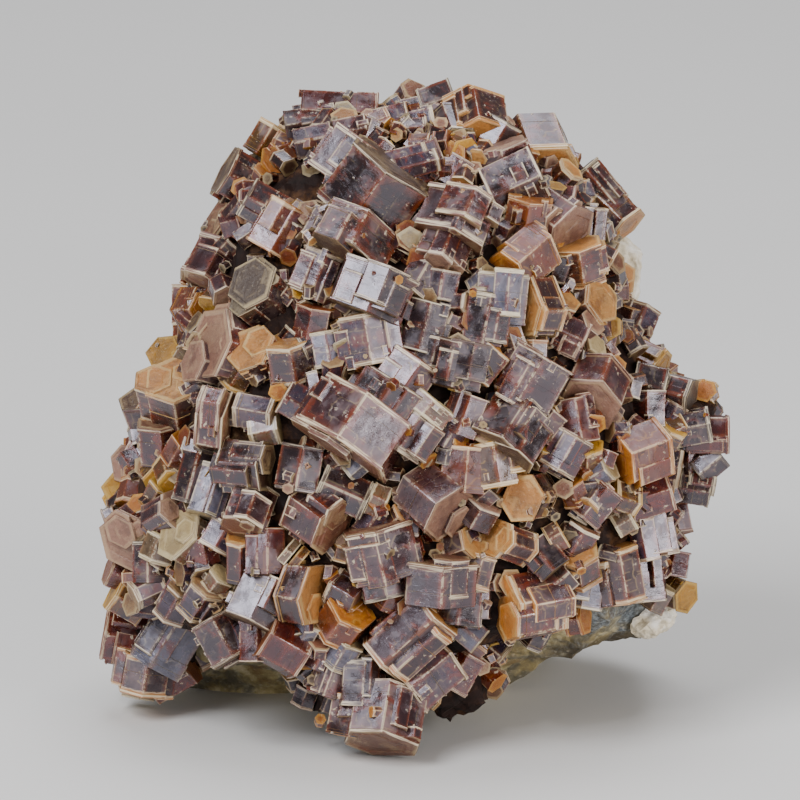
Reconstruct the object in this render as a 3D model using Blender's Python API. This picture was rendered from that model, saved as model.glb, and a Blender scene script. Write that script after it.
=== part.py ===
"""Vanadinite on matrix: a rock that carries one crust of intergrown hexagonal crystals.

Lengths are in millimetres until a mesh is written, and the objects are in metres, +Z up.
The specimen faces -Y and stands on the flat bottom of its rock; the tip of its lowest front
crystals ends just above the ground. The front is laid out on a plane tilted back by VIEW_TILT, where "across" runs
to the right and "rise" runs up. A place on that plane is carried onto the crust along the
plane's own normal.
"""
import math
import random

import bmesh
import bpy
from mathutils import Matrix, Vector, noise
from mathutils.bvhtree import BVHTree

MM = 0.001
VIEW_TILT = math.radians(14.0)
ORIGIN_ACROSS = 1.3      # middle of the specimen on the across scale
ORIGIN_DEPTH = 23.9      # middle of the specimen behind its front tip
GAP = 0.35               # air between neighbouring pieces
GROWTH = 1.3             # how much further a corner moves than the faces beside it
ROCK_POINTS = 26
CRUST_POINTS = 18
ROCK_SQUARENESS = 3.6    # exponent of the rings: 2 is an ellipse, more is squarer
CRUST_SQUARENESS = 2.4
ROCK_ROUGHNESS, ROCK_GRAIN = 2.4, 0.19
CRUST_ROUGHNESS, CRUST_GRAIN = 0.6, 0.11
SEED = 8
NOISE_SEED = 3           # noise vectors differ from run to run without it

# Rings of the rock: height, left, right, front, back. Depths count back from the front tip.
ROCK_RINGS = (
    (0.0, -23.0, 12.5, 27.0, 44.0),
    (2.8, -24.0, 14.8, 24.0, 45.5),
    (5.2, -24.2, 17.5, 20.5, 46.0),
    (6.6, -24.4, 25.5, 18.0, 46.5),
    (9.0, -24.4, 27.2, 15.0, 47.0),
    (12.0, -23.5, 27.2, 11.5, 47.5),
    (16.0, -22.5, 25.0, 9.5, 47.5),
    (24.0, -22.0, 24.5, 8.5, 47.0),
    (32.0, -21.0, 23.0, 9.0, 45.5),
    (40.0, -18.0, 18.0, 11.0, 43.0),
    (48.0, -14.0, 15.5, 14.5, 39.0),
    (54.0, -9.5, 10.5, 19.0, 34.5),
    (56.5, -4.5, 5.0, 23.0, 30.0),
)

# Rings of the crust that the crystals grow out of, before the rock is taken out of it.
CRUST_RINGS = (
    (3.5, -8.5, 2.0, 3.0, 20.0),
    (6.0, -10.0, 4.5, 3.0, 26.0),
    (8.5, -13.5, 7.0, 3.0, 32.0),
    (10.5, -23.0, 13.5, 3.0, 36.0),
    (13.0, -26.0, 20.0, 3.0, 39.0),
    (16.0, -27.0, 26.0, 3.0, 41.0),
    (21.0, -26.8, 28.0, 3.2, 41.5),
    (30.0, -24.5, 28.0, 4.0, 41.0),
    (36.0, -21.5, 24.0, 5.0, 40.0),
    (42.0, -20.0, 21.0, 7.0, 38.0),
    (48.0, -17.0, 20.0, 9.5, 36.0),
    (53.0, -14.5, 17.0, 13.0, 34.5),
    (56.2, -11.5, 13.5, 16.0, 32.5),
    (59.3, -7.0, 8.5, 20.0, 29.5),
)

# Lumps that carry the crust down to the lowest crystals: across, depth, height, radius.
CRUST_LUMPS = (
    (-3.0, 6.0, 5.0, 4.6),
    (-24.0, 22.0, 6.5, 4.6),
    (5.0, 12.0, 6.0, 5.0),
    (27.5, 20.0, 30.0, 4.5),
)

# Flat breaks in the rock: a point as across, depth and height, and the way that the break faces.
BREAKS = (
    ((-5.0, 46.0, 8.0), (-0.15, 1.0, -0.30)),
    ((4.0, 46.6, 26.0), (0.30, 1.0, 0.10)),
    ((-14.0, 44.8, 30.0), (-0.75, 1.0, 0.15)),
    ((0.0, 41.0, 44.0), (-0.1, 1.0, 0.62)),
    ((25.5, 36.0, 14.0), (1.0, 0.85, 0.1)),
)

# Crystals on the bare back of the rock, by group: across and height seen from behind the
# specimen's own right, then width, length, lean and nod as on the front.
BACK_GROUPS = {
    "back_crystals_upper": (
        (2.0, 47.0, 7.0, 5.0, 35, 10), (6.5, 45.0, 5.5, 4.5, 120, 20), (3.5, 42.5, 5.0, 4.0, 80, 40),
        (-1.8, 45.2, 5.0, 4.4, 150, 0),
    ),
    "back_crystals_middle": (
        (-9.0, 27.0, 8.0, 5.5, 70, 0), (-13.5, 24.5, 5.5, 4.5, 20, 35), (-7.0, 22.5, 6.0, 4.5, 130, 20),
        (-11.5, 31.0, 5.0, 4.5, 100, 0), (-4.5, 26.0, 4.6, 4.0, 45, 50),
    ),
    "back_crystals_lower": (
        (12.0, 13.0, 7.5, 5.0, 100, 15), (16.0, 16.0, 5.0, 4.5, 40, 0), (8.5, 15.5, 5.2, 4.2, 160, 30),
        (12.5, 17.8, 4.8, 4.2, 75, 45),
    ),
}

# White calcite lumps: across, depth, height, radii along across, depth and height.
CALCITE = {
    "calcite_lump_shoulder": (20.0, 33.0, 41.5, 4.6, 4.2, 5.2),
    "calcite_lump_ledge": (24.6, 20.0, 9.8, 3.2, 3.0, 2.0),
}

# Crystals: across, rise, width over the corners, length, lean of the length counted from the
# right, and how far its far end nods out of the plane, in degrees.
CROWN = (
    (-6.0, 64.3, 5.0, 7.5, -3, 0), (-8.8, 63.3, 4.0, 5.0, 10, 0), (-8.5, 61.5, 3.8, 3.8, 12, 0),
    (-1.0, 63.2, 4.6, 4.0, 12, 0), (2.0, 63.2, 4.0, 3.0, 12, 0), (3.8, 65.6, 4.2, 3.4, 20, 0),
    (7.5, 63.2, 6.5, 5.0, -80, 45), (5.2, 62.8, 4.0, 4.0, -70, 45), (9.5, 62.0, 4.0, 3.5, 60, 0),
    (13.7, 60.4, 7.0, 5.5, -70, 45), (1.5, 59.2, 4.5, 5.0, 15, -10), (10.0, 60.2, 6.0, 2.2, 105, 10),
)
LEFT_SHOULDER = (
    (-13.2, 61.8, 3.8, 3.4, 60, 0), (-15.0, 57.5, 6.0, 5.5, 150, 10), (-16.5, 53.0, 5.0, 4.5, 155, 20),
    (-13.0, 54.8, 4.5, 5.0, 150, 0), (-11.7, 52.8, 5.5, 5.0, 60, 0), (-18.0, 49.2, 6.5, 4.5, 63, -15),
    (-20.0, 44.8, 4.5, 4.0, 0, 60), (-13.5, 46.5, 5.5, 5.0, 140, 50),
)
UPPER_HEART = (
    (-2.5, 56.5, 10.0, 6.5, 54, 12), (-5.0, 59.5, 7.0, 5.0, 54, 0), (-4.8, 51.7, 9.0, 4.0, 62, -20),
    (-8.2, 48.5, 4.5, 4.5, 68, 0), (-2.8, 46.7, 9.0, 4.8, 68, -5), (5.5, 53.5, 8.5, 4.5, 68, -20),
    (4.2, 50.8, 5.5, 4.0, 68, -30),
)
RIGHT_SHOULDER = (
    (11.2, 57.5, 6.5, 5.5, 25, 0), (12.5, 53.5, 5.0, 5.0, 80, 15), (15.2, 53.8, 6.0, 5.0, -35, 35),
    (12.2, 49.8, 5.5, 5.0, 221, 30), (13.3, 45.2, 6.5, 3.0, 180, 35), (18.5, 52.8, 4.0, 4.5, 85, 0),
    (17.2, 57.3, 4.5, 4.5, 130, 0), (19.5, 56.8, 4.5, 5.0, 130, 0), (21.2, 54.5, 5.0, 4.0, -45, 15),
    (17.7, 49.5, 5.0, 4.0, 100, 20), (18.5, 45.3, 4.8, 4.0, 20, 40), (23.2, 43.5, 4.6, 3.8, 68, -15),
    (16.7, 42.2, 4.5, 3.0, 155, 0),
)
LEFT_SIDE = (
    (-17.4, 41.0, 7.5, 3.5, 165, 30), (-14.0, 40.2, 5.0, 3.5, 135, 50), (-10.8, 40.0, 5.0, 4.0, 100, 20),
    (-3.0, 42.0, 6.0, 5.0, 100, 0), (-23.2, 40.0, 4.0, 3.0, 120, 50), (-21.8, 36.0, 6.5, 5.5, 100, 40),
    (-25.0, 34.2, 5.0, 5.0, 110, 30), (-23.5, 32.0, 5.0, 4.0, 95, 20), (-26.4, 29.4, 4.2, 3.5, 170, 55),
    (-26.8, 26.5, 5.0, 3.5, 120, 45), (-25.8, 22.5, 6.5, 4.0, 215, 55), (-23.0, 24.7, 4.5, 4.0, 30, 50),
    (-17.9, 33.8, 7.2, 2.8, 170, -15), (-14.0, 34.7, 4.0, 4.0, -10, 20), (-15.0, 29.7, 5.5, 4.5, -5, 25),
    (-20.0, 28.5, 4.0, 5.5, 75, 0), (-18.6, 27.0, 4.0, 5.0, 72, -10), (-14.8, 25.0, 5.5, 4.5, 71, -25),
)
CENTRE = (
    (-4.3, 33.3, 11.5, 5.5, 56, -8), (0.8, 33.0, 5.5, 4.5, 56, 0), (-2.0, 36.2, 7.0, 4.5, 56, 0),
    (0.5, 38.2, 6.0, 4.5, 56, 0), (-10.0, 35.8, 4.5, 3.0, 150, 0), (-9.7, 29.3, 5.0, 4.5, 80, 0),
    (-5.5, 27.0, 4.5, 5.0, -24, 0), (-8.2, 24.5, 6.0, 4.5, -35, 30), (3.2, 26.3, 6.5, 5.0, -40, 30),
    (6.3, 29.2, 5.0, 4.5, 85, 0), (9.2, 29.7, 5.0, 4.5, 100, 0), (2.5, 43.2, 5.0, 5.0, 75, 0),
    (8.3, 44.0, 5.0, 5.0, 80, 0), (10.0, 46.0, 5.5, 5.0, 85, 0), (5.5, 39.5, 6.5, 4.5, 78, 0),
    (13.0, 38.0, 6.5, 5.0, 60, 0), (10.5, 33.2, 7.0, 5.0, 57, -22), (6.5, 34.5, 4.5, 4.0, 70, 0),
)
RIGHT_SIDE = (
    (12.8, 26.5, 4.8, 4.0, 190, 65), (19.2, 36.8, 6.5, 4.5, -110, 50), (17.3, 34.0, 4.0, 4.5, 100, 0),
    (16.0, 31.0, 4.5, 4.0, 60, 0), (19.4, 25.8, 4.0, 4.0, 50, 0), (24.0, 39.8, 4.5, 4.5, -25, 20),
    (24.7, 37.5, 5.0, 3.2, -12, 0), (27.7, 36.5, 4.5, 2.6, -15, 15), (29.0, 33.0, 4.0, 3.5, 10, 0),
    (30.6, 32.5, 4.0, 4.0, 0, 0), (29.0, 29.3, 4.0, 3.5, 92, 0), (23.5, 30.8, 6.0, 5.0, 200, 30),
    (26.3, 29.5, 4.5, 3.0, -10, 0), (29.3, 27.5, 4.5, 3.0, -10, 0), (24.5, 26.5, 4.5, 4.5, 17, -5),
)
LOWER_LEFT = (
    (-27.6, 12.2, 5.5, 4.0, 170, 0), (-24.7, 20.0, 4.0, 4.0, 90, 0), (-20.8, 22.3, 5.5, 3.5, 150, 40),
    (-13.3, 21.2, 4.5, 4.5, 90, 0), (-22.0, 16.0, 4.0, 3.5, 60, 25), (-19.5, 16.5, 4.5, 3.5, 58, 30),
    (-23.2, 12.0, 6.5, 5.5, 58, 5), (-17.4, 12.5, 5.2, 4.5, 118, -5), (-14.2, 16.3, 6.0, 5.0, 65, -10),
    (-11.5, 11.7, 5.0, 4.5, 150, 10), (-25.5, 8.9, 5.6, 4.0, 80, 10), (-22.8, 8.4, 4.5, 4.5, 30, 15),
    (-27.2, 19.0, 4.2, 3.6, 160, 10), (-27.0, 16.0, 4.2, 3.6, 150, 10),
)
LOWER_MIDDLE = (
    (-9.5, 17.3, 6.5, 3.0, -8, 30), (-1.8, 21.2, 8.0, 5.2, 103, 8), (-1.5, 18.0, 5.0, 3.0, 103, 0),
    (3.8, 18.3, 7.5, 4.2, 87, 10), (5.8, 15.7, 5.0, 3.5, 85, 0), (-5.5, 14.3, 5.5, 3.5, 54, 35),
    (-6.8, 8.8, 4.0, 4.0, 70, 0), (1.0, 13.0, 6.5, 7.5, 42, 12), (2.5, 9.2, 6.5, 5.5, 40, -10),
    (6.0, 10.8, 4.5, 4.0, 50, 0), (5.8, 9.3, 4.5, 4.0, 60, 0), (-3.8, 8.0, 5.0, 4.5, 86, -5),
    (-5.0, 5.0, 4.5, 4.0, 80, 0), (-1.4, 4.7, 8.0, 5.5, 80, -20),
)
LOWER_RIGHT = (
    (10.7, 22.0, 4.5, 4.0, 160, 40), (14.3, 20.5, 4.2, 3.6, 130, -10), (17.5, 19.8, 4.5, 3.5, 100, 45),
    (18.5, 17.2, 4.0, 3.5, 80, 0), (12.7, 16.0, 7.0, 5.5, 190, 25), (15.0, 18.0, 4.5, 4.0, 40, 0),
    (21.2, 18.8, 5.5, 5.5, 100, 10), (24.0, 18.5, 5.0, 5.0, 95, 0), (24.8, 23.0, 4.5, 4.5, 100, 0),
    (7.5, 19.2, 4.0, 3.5, 75, 0),
)
FRONT_CRYSTALS = (CROWN + LEFT_SHOULDER + UPPER_HEART + RIGHT_SHOULDER + LEFT_SIDE + CENTRE
                  + RIGHT_SIDE + LOWER_LEFT + LOWER_MIDDLE + LOWER_RIGHT)
LIFT_SHARE = 0.12        # a crystal's middle stands this share of its width out of the crust
CHAMFER_FROM = 6.0       # crystals this wide have a sloped rim round their ends
CHAMFER_SHARE = 0.06
SIDE_ROWS, SIDE_COLUMNS = 9, 22
SIDE_FROM, SIDE_STEP = 12.0, 5.6
SIDE_BACK = 15.5         # the side crystals stop this far behind the middle
SIDE_SPACING = 4.6
SIDE_SUNK = 0.08         # share of its width that a side crystal's middle is sunk
SIDE_UNDER = -0.15       # none grow where the crust faces down more than this
SIDE_TURNED = 0.12       # or where it faces the viewer more than this
SIDE_SLOPE = 0.25        # they are looked for from a little above
SIDE_WIDTHS = (4.2, 7.0)
SIDE_LENGTHS = (3.6, 5.6)
SIDE_TIPS = (-0.5, 0.9)  # radians out of the surface
FAR = 60.0               # well outside the specimen, in millimetres
TURN_REACH = 20.0        # a crystal's turn about its own length, in degrees
TURN_GRAIN = 0.4
END_ON = 0.2             # below this a crystal counts as seen end-on
GROUP_REACH = 12.0       # how near a crystal is for it to be cut clear of the others
LUMP_REACH = 6.0
CALCITE_ROUGHNESS = 0.22
CALCITE_GRAIN = 1.7


def on_plane(across, rise, depth):
    """A point given on the tilted front plane, in millimetres of the object's own frame."""
    back = rise * math.sin(VIEW_TILT) + depth * math.cos(VIEW_TILT)
    up = rise * math.cos(VIEW_TILT) - depth * math.sin(VIEW_TILT)
    return Vector((across - ORIGIN_ACROSS, back - ORIGIN_DEPTH, up))


def lofted(rings, points, squareness, roughness, grain):
    """A closed body through the rings, roughened; grain is how finely, per millimetre."""
    bm = bmesh.new()
    steps = len(rings) - 1
    power = 2 / squareness
    bmesh.ops.create_cone(bm, cap_ends=True, segments=points, radius1=1, radius2=1,
                          depth=steps)
    upright = [edge for edge in bm.edges if abs(edge.verts[0].co.z - edge.verts[1].co.z) > 0.5]
    bmesh.ops.subdivide_edges(bm, edges=upright, cuts=steps - 1)
    for vert in bm.verts:
        index = round(vert.co.z + steps / 2)
        height, left, right, front, back = rings[index]
        turn = math.atan2(vert.co.y, vert.co.x)
        side = math.copysign(abs(math.cos(turn)) ** power, math.cos(turn))
        away = math.copysign(abs(math.sin(turn)) ** power, math.sin(turn))
        across = (left + right) / 2 + side * (right - left) / 2
        depth = (front + back) / 2 + away * (back - front) / 2
        place = Vector((across, depth, height))
        shake = noise.noise_vector(place * grain) * roughness
        if index == 0:
            shake.z = 0
        vert.co = place + shake - Vector((ORIGIN_ACROSS, ORIGIN_DEPTH, 0))
    bmesh.ops.triangulate(bm, faces=bm.faces)
    bmesh.ops.recalc_face_normals(bm, faces=bm.faces)
    return bm


def crust():
    """The crust with no crystals on it yet."""
    return lofted(CRUST_RINGS, CRUST_POINTS, CRUST_SQUARENESS, CRUST_ROUGHNESS, CRUST_GRAIN)


def grown(bm):
    """Moves every corner outwards by a little more than the gap between pieces."""
    bm.normal_update()
    moves = [(vert, vert.normal * (GAP * GROWTH)) for vert in bm.verts]
    for vert, move in moves:
        vert.co += move
    return bm


def broken_rock():
    """The rock, with its flat breaks."""
    bm = lofted(ROCK_RINGS, ROCK_POINTS, ROCK_SQUARENESS, ROCK_ROUGHNESS, ROCK_GRAIN)
    for (across, depth, height), facing in BREAKS:
        place = Vector((across - ORIGIN_ACROSS, depth - ORIGIN_DEPTH, height))
        bmesh.ops.bisect_plane(bm, geom=bm.verts[:] + bm.edges[:] + bm.faces[:], dist=0.0001,
                               plane_co=place, plane_no=facing, clear_outer=True)
        bmesh.ops.holes_fill(bm, edges=[edge for edge in bm.edges if edge.is_boundary])
    bmesh.ops.dissolve_degenerate(bm, dist=0.05, edges=bm.edges)
    bmesh.ops.triangulate(bm, faces=bm.faces)
    bmesh.ops.recalc_face_normals(bm, faces=bm.faces)
    return bm


def crust_lump(across, depth, height, radius):
    """One round lump of the crust."""
    bm = bmesh.new()
    middle = Matrix.Translation((across - ORIGIN_ACROSS, depth - ORIGIN_DEPTH, height))
    bmesh.ops.create_icosphere(bm, subdivisions=1, radius=radius, matrix=middle)
    return written(bm, "lump")


def crystal_frame(middle, lean, nod, turn):
    """The placing of a crystal: its length runs along local Z."""
    right = Vector((1, 0, 0))
    up = Vector((0, math.sin(VIEW_TILT), math.cos(VIEW_TILT)))
    inward = Vector((0, math.cos(VIEW_TILT), -math.sin(VIEW_TILT)))
    lean, nod = math.radians(lean), math.radians(nod)
    length_way = (right * math.cos(lean) + up * math.sin(lean)) * math.cos(nod) - inward * math.sin(nod)
    return axis_frame(middle, length_way, -inward, turn)


def axis_frame(middle, length_way, facing, turn):
    """A frame at middle with Z along length_way and a flat side towards facing."""
    length_way = length_way.normalized()
    flat = facing - length_way * facing.dot(length_way)
    if flat.length < END_ON:
        flat = Vector((1, 0, 0)) - length_way * length_way.x
    flat.normalize()
    side = length_way.cross(flat)
    frame = Matrix((flat, side, length_way)).transposed().to_4x4()
    return Matrix.Translation(middle) @ frame @ Matrix.Rotation(math.radians(30 + turn), 4, "Z")


def crystal(frame, width, length):
    """One hexagonal crystal; a large one has a sloped rim round both ends."""
    bm = bmesh.new()
    bmesh.ops.create_cone(bm, cap_ends=True, segments=6, radius1=width / 2, radius2=width / 2,
                          depth=length)
    if width >= CHAMFER_FROM:
        rim = width * CHAMFER_SHARE
        for cap in [face for face in bm.faces if len(face.verts) == 6]:
            bmesh.ops.translate(bm, verts=cap.verts, vec=(0, 0, -math.copysign(rim, cap.normal.z)))
            bmesh.ops.inset_region(bm, faces=[cap], thickness=rim, depth=rim)
    bmesh.ops.transform(bm, verts=bm.verts, matrix=frame)
    return written(bm, "crystal")


def turn_of(across, rise):
    """A crystal's own small turn about its length, the same on each run."""
    return TURN_REACH * noise.noise(Vector((across * TURN_GRAIN, rise * TURN_GRAIN, 0)))


def front_crystals(surface):
    """The crystals of the front, each carried back onto the crust along the view."""
    made = []
    inward = on_plane(0, 0, 1) - on_plane(0, 0, 0)
    for across, rise, width, length, lean, nod in FRONT_CRYSTALS:
        hit = surface.ray_cast(on_plane(across, rise, -FAR), inward)[0]
        if hit is None:
            steps = [on_plane(across, rise, depth) for depth in range(int(FAR))]
            hit = min(steps, key=lambda place: surface.find_nearest(place)[3])
        middle = hit - inward * (LIFT_SHARE * width)
        frame = crystal_frame(middle, lean, nod, turn_of(across, rise))
        made.append((frame, width, length))
    return made


def side_crystals(surface):
    """The crystals of the top and the sides, which the front plane doesn't reach."""
    made, placed = [], []
    chance = random.Random(SEED)
    inward = on_plane(0, 0, 1) - on_plane(0, 0, 0)
    for row in range(SIDE_ROWS):
        for column in range(SIDE_COLUMNS):
            height = SIDE_FROM + row * SIDE_STEP + chance.uniform(-1.5, 1.5)
            turn = (column + 0.5 * (row % 2) + chance.uniform(-0.2, 0.2)) / SIDE_COLUMNS * math.tau
            outward = Vector((math.cos(turn), math.sin(turn), SIDE_SLOPE))
            hit, normal, _, _ = surface.ray_cast(Vector((0, 0, height)) + outward * FAR, -outward)
            width, length = chance.uniform(*SIDE_WIDTHS), chance.uniform(*SIDE_LENGTHS)
            lean, tip = chance.uniform(0, math.tau), chance.uniform(*SIDE_TIPS)
            spin = chance.uniform(-TURN_REACH, TURN_REACH)
            if hit is None or hit.y > SIDE_BACK:
                continue
            if normal.dot(inward) < SIDE_TURNED or normal.z < SIDE_UNDER:
                continue
            if any((hit - other).length < SIDE_SPACING for other in placed):
                continue
            placed.append(hit)
            along = Matrix.Rotation(lean, 3, normal) @ normal.orthogonal().normalized()
            length_way = along * math.cos(tip) + normal * math.sin(tip)
            middle = hit - normal * (SIDE_SUNK * width)
            made.append((axis_frame(middle, length_way, normal, spin), width, length))
    return made


def back_crystals(rows, surface):
    """The crystals of one group on the back of the rock."""
    made = []
    for across, height, width, length, lean, nod in rows:
        start = Vector((across - ORIGIN_ACROSS, FAR, height))
        hit = surface.ray_cast(start, Vector((0, -1, 0)))[0]
        lean, nod = math.radians(lean), math.radians(nod)
        flat_way = Vector((-math.cos(lean), 0, math.sin(lean)))
        length_way = flat_way * math.cos(nod) + Vector((0, math.sin(nod), 0))
        middle = hit + Vector((0, LIFT_SHARE * width, 0))
        frame = axis_frame(middle, length_way, Vector((0, 1, 0)), turn_of(across, height))
        made.append((frame, width, length))
    return made


def calcite_lump(across, depth, height, *radii):
    """One rough white lump."""
    bm = bmesh.new()
    bmesh.ops.create_icosphere(bm, subdivisions=2, radius=1)
    for vert in bm.verts:
        place = vert.co * CALCITE_GRAIN + Vector((across, depth, height))
        vert.co *= 1 + CALCITE_ROUGHNESS * noise.noise(place)
    middle = Matrix.Translation((across - ORIGIN_ACROSS, depth - ORIGIN_DEPTH, height))
    bmesh.ops.transform(bm, verts=bm.verts, matrix=middle @ Matrix.Diagonal((*radii, 1)))
    return bm


def written(bm, name):
    """Writes a bmesh that is in millimetres into a new object in metres."""
    bmesh.ops.scale(bm, verts=bm.verts, vec=(MM, MM, MM))
    mesh = bpy.data.meshes.new(name)
    bm.to_mesh(mesh)
    bm.free()
    obj = bpy.data.objects.new(name, mesh)
    bpy.context.scene.collection.objects.link(obj)
    return obj


def boolean(obj, other, operation):
    """Joins or cuts obj by other, applies it and removes other."""
    modifier = obj.modifiers.new(operation.title(), "BOOLEAN")
    modifier.object = other
    modifier.operation = operation
    modifier.solver = "EXACT"
    graph = bpy.context.evaluated_depsgraph_get()
    mesh = bpy.data.meshes.new_from_object(obj.evaluated_get(graph))
    obj.modifiers.clear()
    obj.data = mesh
    bpy.data.objects.remove(other)


def surface_of(obj):
    """The surface of an object, in millimetres, for finding places on it."""
    bm = bmesh.new()
    bm.from_mesh(obj.data)
    bmesh.ops.scale(bm, verts=bm.verts, vec=(1 / MM, 1 / MM, 1 / MM))
    surface = BVHTree.FromBMesh(bm)
    bm.free()
    return surface


def keep_largest(obj):
    """Drops the splinters that a cut has parted from the main body."""
    bm = bmesh.new()
    bm.from_mesh(obj.data)
    bmesh.ops.triangulate(bm, faces=bm.faces)
    unseen = set(bm.verts)
    bodies = []
    while unseen:
        body, waiting = [], [unseen.pop()]
        while waiting:
            vert = waiting.pop()
            body.append(vert)
            near = {edge.other_vert(vert) for edge in vert.link_edges} & unseen
            unseen -= near
            waiting.extend(near)
        bodies.append(body)
    bodies.sort(key=len)
    for body in bodies[:-1]:
        bmesh.ops.delete(bm, geom=body, context="VERTS")
    bm.to_mesh(obj.data)
    bm.free()


def finish(name, colour, roughness):
    """A plain finish."""
    material = bpy.data.materials.new(name)
    material.use_nodes = True
    shader = material.node_tree.nodes["Principled BSDF"]
    shader.inputs["Base Color"].default_value = (*colour, 1)
    shader.inputs["Roughness"].default_value = roughness
    return material


def cleared(obj, crystals, reach):
    """Cuts room in obj for the rock and for the crystals that come within reach of it."""
    boolean(obj, written(grown(broken_rock()), "room"), "DIFFERENCE")
    middle = sum((vert.co for vert in obj.data.vertices), Vector()) / len(obj.data.vertices) / MM
    for frame, width, length in crystals:
        if (frame.translation - middle).length < reach + width:
            room = crystal(frame, width + 2 * GROWTH * GAP, length + 2 * GAP)
            boolean(obj, room, "DIFFERENCE")


def main():
    for obj in list(bpy.data.objects):
        bpy.data.objects.remove(obj)
    noise.seed_set(NOISE_SEED)
    rock = written(broken_rock(), "matrix")
    rock.data.materials.append(finish("matrix_rock", (0.42, 0.38, 0.32), 0.85))

    vanadinite = finish("vanadinite", (0.16, 0.08, 0.07), 0.15)
    mass = written(crust(), "crystal_mass")
    for lump in CRUST_LUMPS:
        boolean(mass, crust_lump(*lump), "UNION")
    surface = surface_of(mass)
    crystals = front_crystals(surface) + side_crystals(surface)
    for one in crystals:
        boolean(mass, crystal(*one), "UNION")
    boolean(mass, written(grown(broken_rock()), "room"), "DIFFERENCE")
    keep_largest(mass)
    mass.data.materials.append(vanadinite)

    rock_surface = surface_of(rock)
    for name, rows in BACK_GROUPS.items():
        first, *others = back_crystals(rows, rock_surface)
        group = crystal(*first)
        group.name = name
        for one in others:
            boolean(group, crystal(*one), "UNION")
        cleared(group, crystals, GROUP_REACH)
        keep_largest(group)
        group.data.materials.append(vanadinite)

    calcite = finish("calcite", (0.86, 0.83, 0.76), 0.6)
    for name, lump in CALCITE.items():
        obj = written(calcite_lump(*lump), name)
        boolean(obj, written(grown(crust()), "room"), "DIFFERENCE")
        cleared(obj, crystals, LUMP_REACH)
        keep_largest(obj)
        obj.data.materials.append(calcite)


main()
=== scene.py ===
"""Dresses the vanadinite specimen: its crystals, its rock, its calcite and a plain studio."""
import math
import random

import bmesh
import bpy
import numpy as np
from mathutils import Matrix, Vector, noise
from mathutils.bvhtree import BVHTree


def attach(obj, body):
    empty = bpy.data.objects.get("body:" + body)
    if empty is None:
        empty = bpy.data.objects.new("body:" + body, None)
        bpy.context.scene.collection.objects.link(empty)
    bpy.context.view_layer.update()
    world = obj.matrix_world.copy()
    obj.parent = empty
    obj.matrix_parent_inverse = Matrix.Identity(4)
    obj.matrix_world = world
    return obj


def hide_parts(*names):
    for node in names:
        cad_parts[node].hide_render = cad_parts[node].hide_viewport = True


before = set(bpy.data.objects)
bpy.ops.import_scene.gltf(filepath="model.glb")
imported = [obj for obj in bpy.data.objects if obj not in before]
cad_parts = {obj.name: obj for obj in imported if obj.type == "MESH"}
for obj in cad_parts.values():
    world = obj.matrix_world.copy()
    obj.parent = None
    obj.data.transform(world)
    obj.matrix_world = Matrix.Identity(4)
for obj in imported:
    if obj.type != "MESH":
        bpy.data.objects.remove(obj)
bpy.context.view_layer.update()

bl_info = {
    "name": "Vanadinite on Matrix",
    "version": (1, 0, 0),
    "blender": (4, 5, 0),
    "location": "3D View > Sidebar > Vanadinite",
    "description": "Grows hexagonal vanadinite crystals, rock and calcite round a packed specimen",
    "category": "Add Mesh",
}

MM = 0.001
BODY = "root"
VIEW_TILT = math.radians(14.0)
ORIGIN_ACROSS = 1.3
ORIGIN_DEPTH = 23.9
INWARD = Vector((0, math.cos(VIEW_TILT), -math.sin(VIEW_TILT)))
UPWARD = Vector((0, math.sin(VIEW_TILT), math.cos(VIEW_TILT)))
RIGHTWARD = Vector((1, 0, 0))

# The crust that carries the crystals: height, left, right, front and back of each ring.
CRUST_RINGS = (
    (3.5, -8.5, 2.0, 3.0, 20.0),
    (6.0, -10.0, 4.5, 3.0, 26.0),
    (8.5, -13.5, 7.0, 3.0, 32.0),
    (10.5, -23.0, 13.5, 3.0, 36.0),
    (13.0, -26.0, 20.0, 3.0, 39.0),
    (16.0, -27.0, 26.0, 3.0, 41.0),
    (21.0, -26.8, 28.0, 3.2, 41.5),
    (30.0, -24.5, 28.0, 4.0, 41.0),
    (36.0, -21.5, 24.0, 5.0, 40.0),
    (42.0, -20.0, 21.0, 7.0, 38.0),
    (48.0, -17.0, 20.0, 9.5, 36.0),
    (53.0, -14.5, 17.0, 13.0, 34.5),
    (56.2, -11.5, 13.5, 16.0, 32.5),
    (59.3, -7.0, 8.5, 20.0, 29.5),
)
CRUST_POINTS = 18
CRUST_SQUARENESS = 2.4
CRUST_ROUGHNESS, CRUST_GRAIN = 0.6, 0.11
CRUST_LUMPS = (
    (-3.0, 6.0, 5.0, 4.6),
    (-24.0, 22.0, 6.5, 4.6),
    (5.0, 12.0, 6.0, 5.0),
    (27.5, 20.0, 30.0, 4.5),
)

# One crystal. Widths and lengths are in millimetres; a share is of the width over the corners.
CRUMB, SMALL, LARGE = 0, 1, 2  # how much detail a crystal gets
LIFT_SHARE = 0.12
CORNER_TURN = 30         # degrees that bring a flat side to the front
SIDE_REACH = 0.433       # from the axis to a side
SIDE_SPREAD = 0.10
SLANT = 0.866            # sine of 60 degrees
END_SLOPE = 0.75         # faces steeper than this across the length are end faces
LEDGE = 0.02             # how high the slope between two layers is
PLAIN_RIM_SHARE, PLAIN_RIM_MOST, PLAIN_RIM_WIDE = 0.07, 0.25, 1.05
THIN_BELOW = 5           # narrower crystals have thinner end layers
LAYER_COUNTS, LAYER_THICK, LAYER_WIDER = (1, 2, 2, 3), (0.12, 0.34), (-0.02, 0.055)
CUT_COUNTS, CUT_PLACES, CUT_WIDER = (0, 1, 1, 2), (0.2, 0.8), (-0.03, 0.02)
LAYER_LEAST = 0.03
CAP_COUNTS, CAP_INSET, CAP_SINK = (1, 1, 2), (0.04, 0.12), (0.006, 0.016)
CAP_WAYS = (-1, -1, 1)   # two of three end faces are sunk, the third is raised
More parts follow.
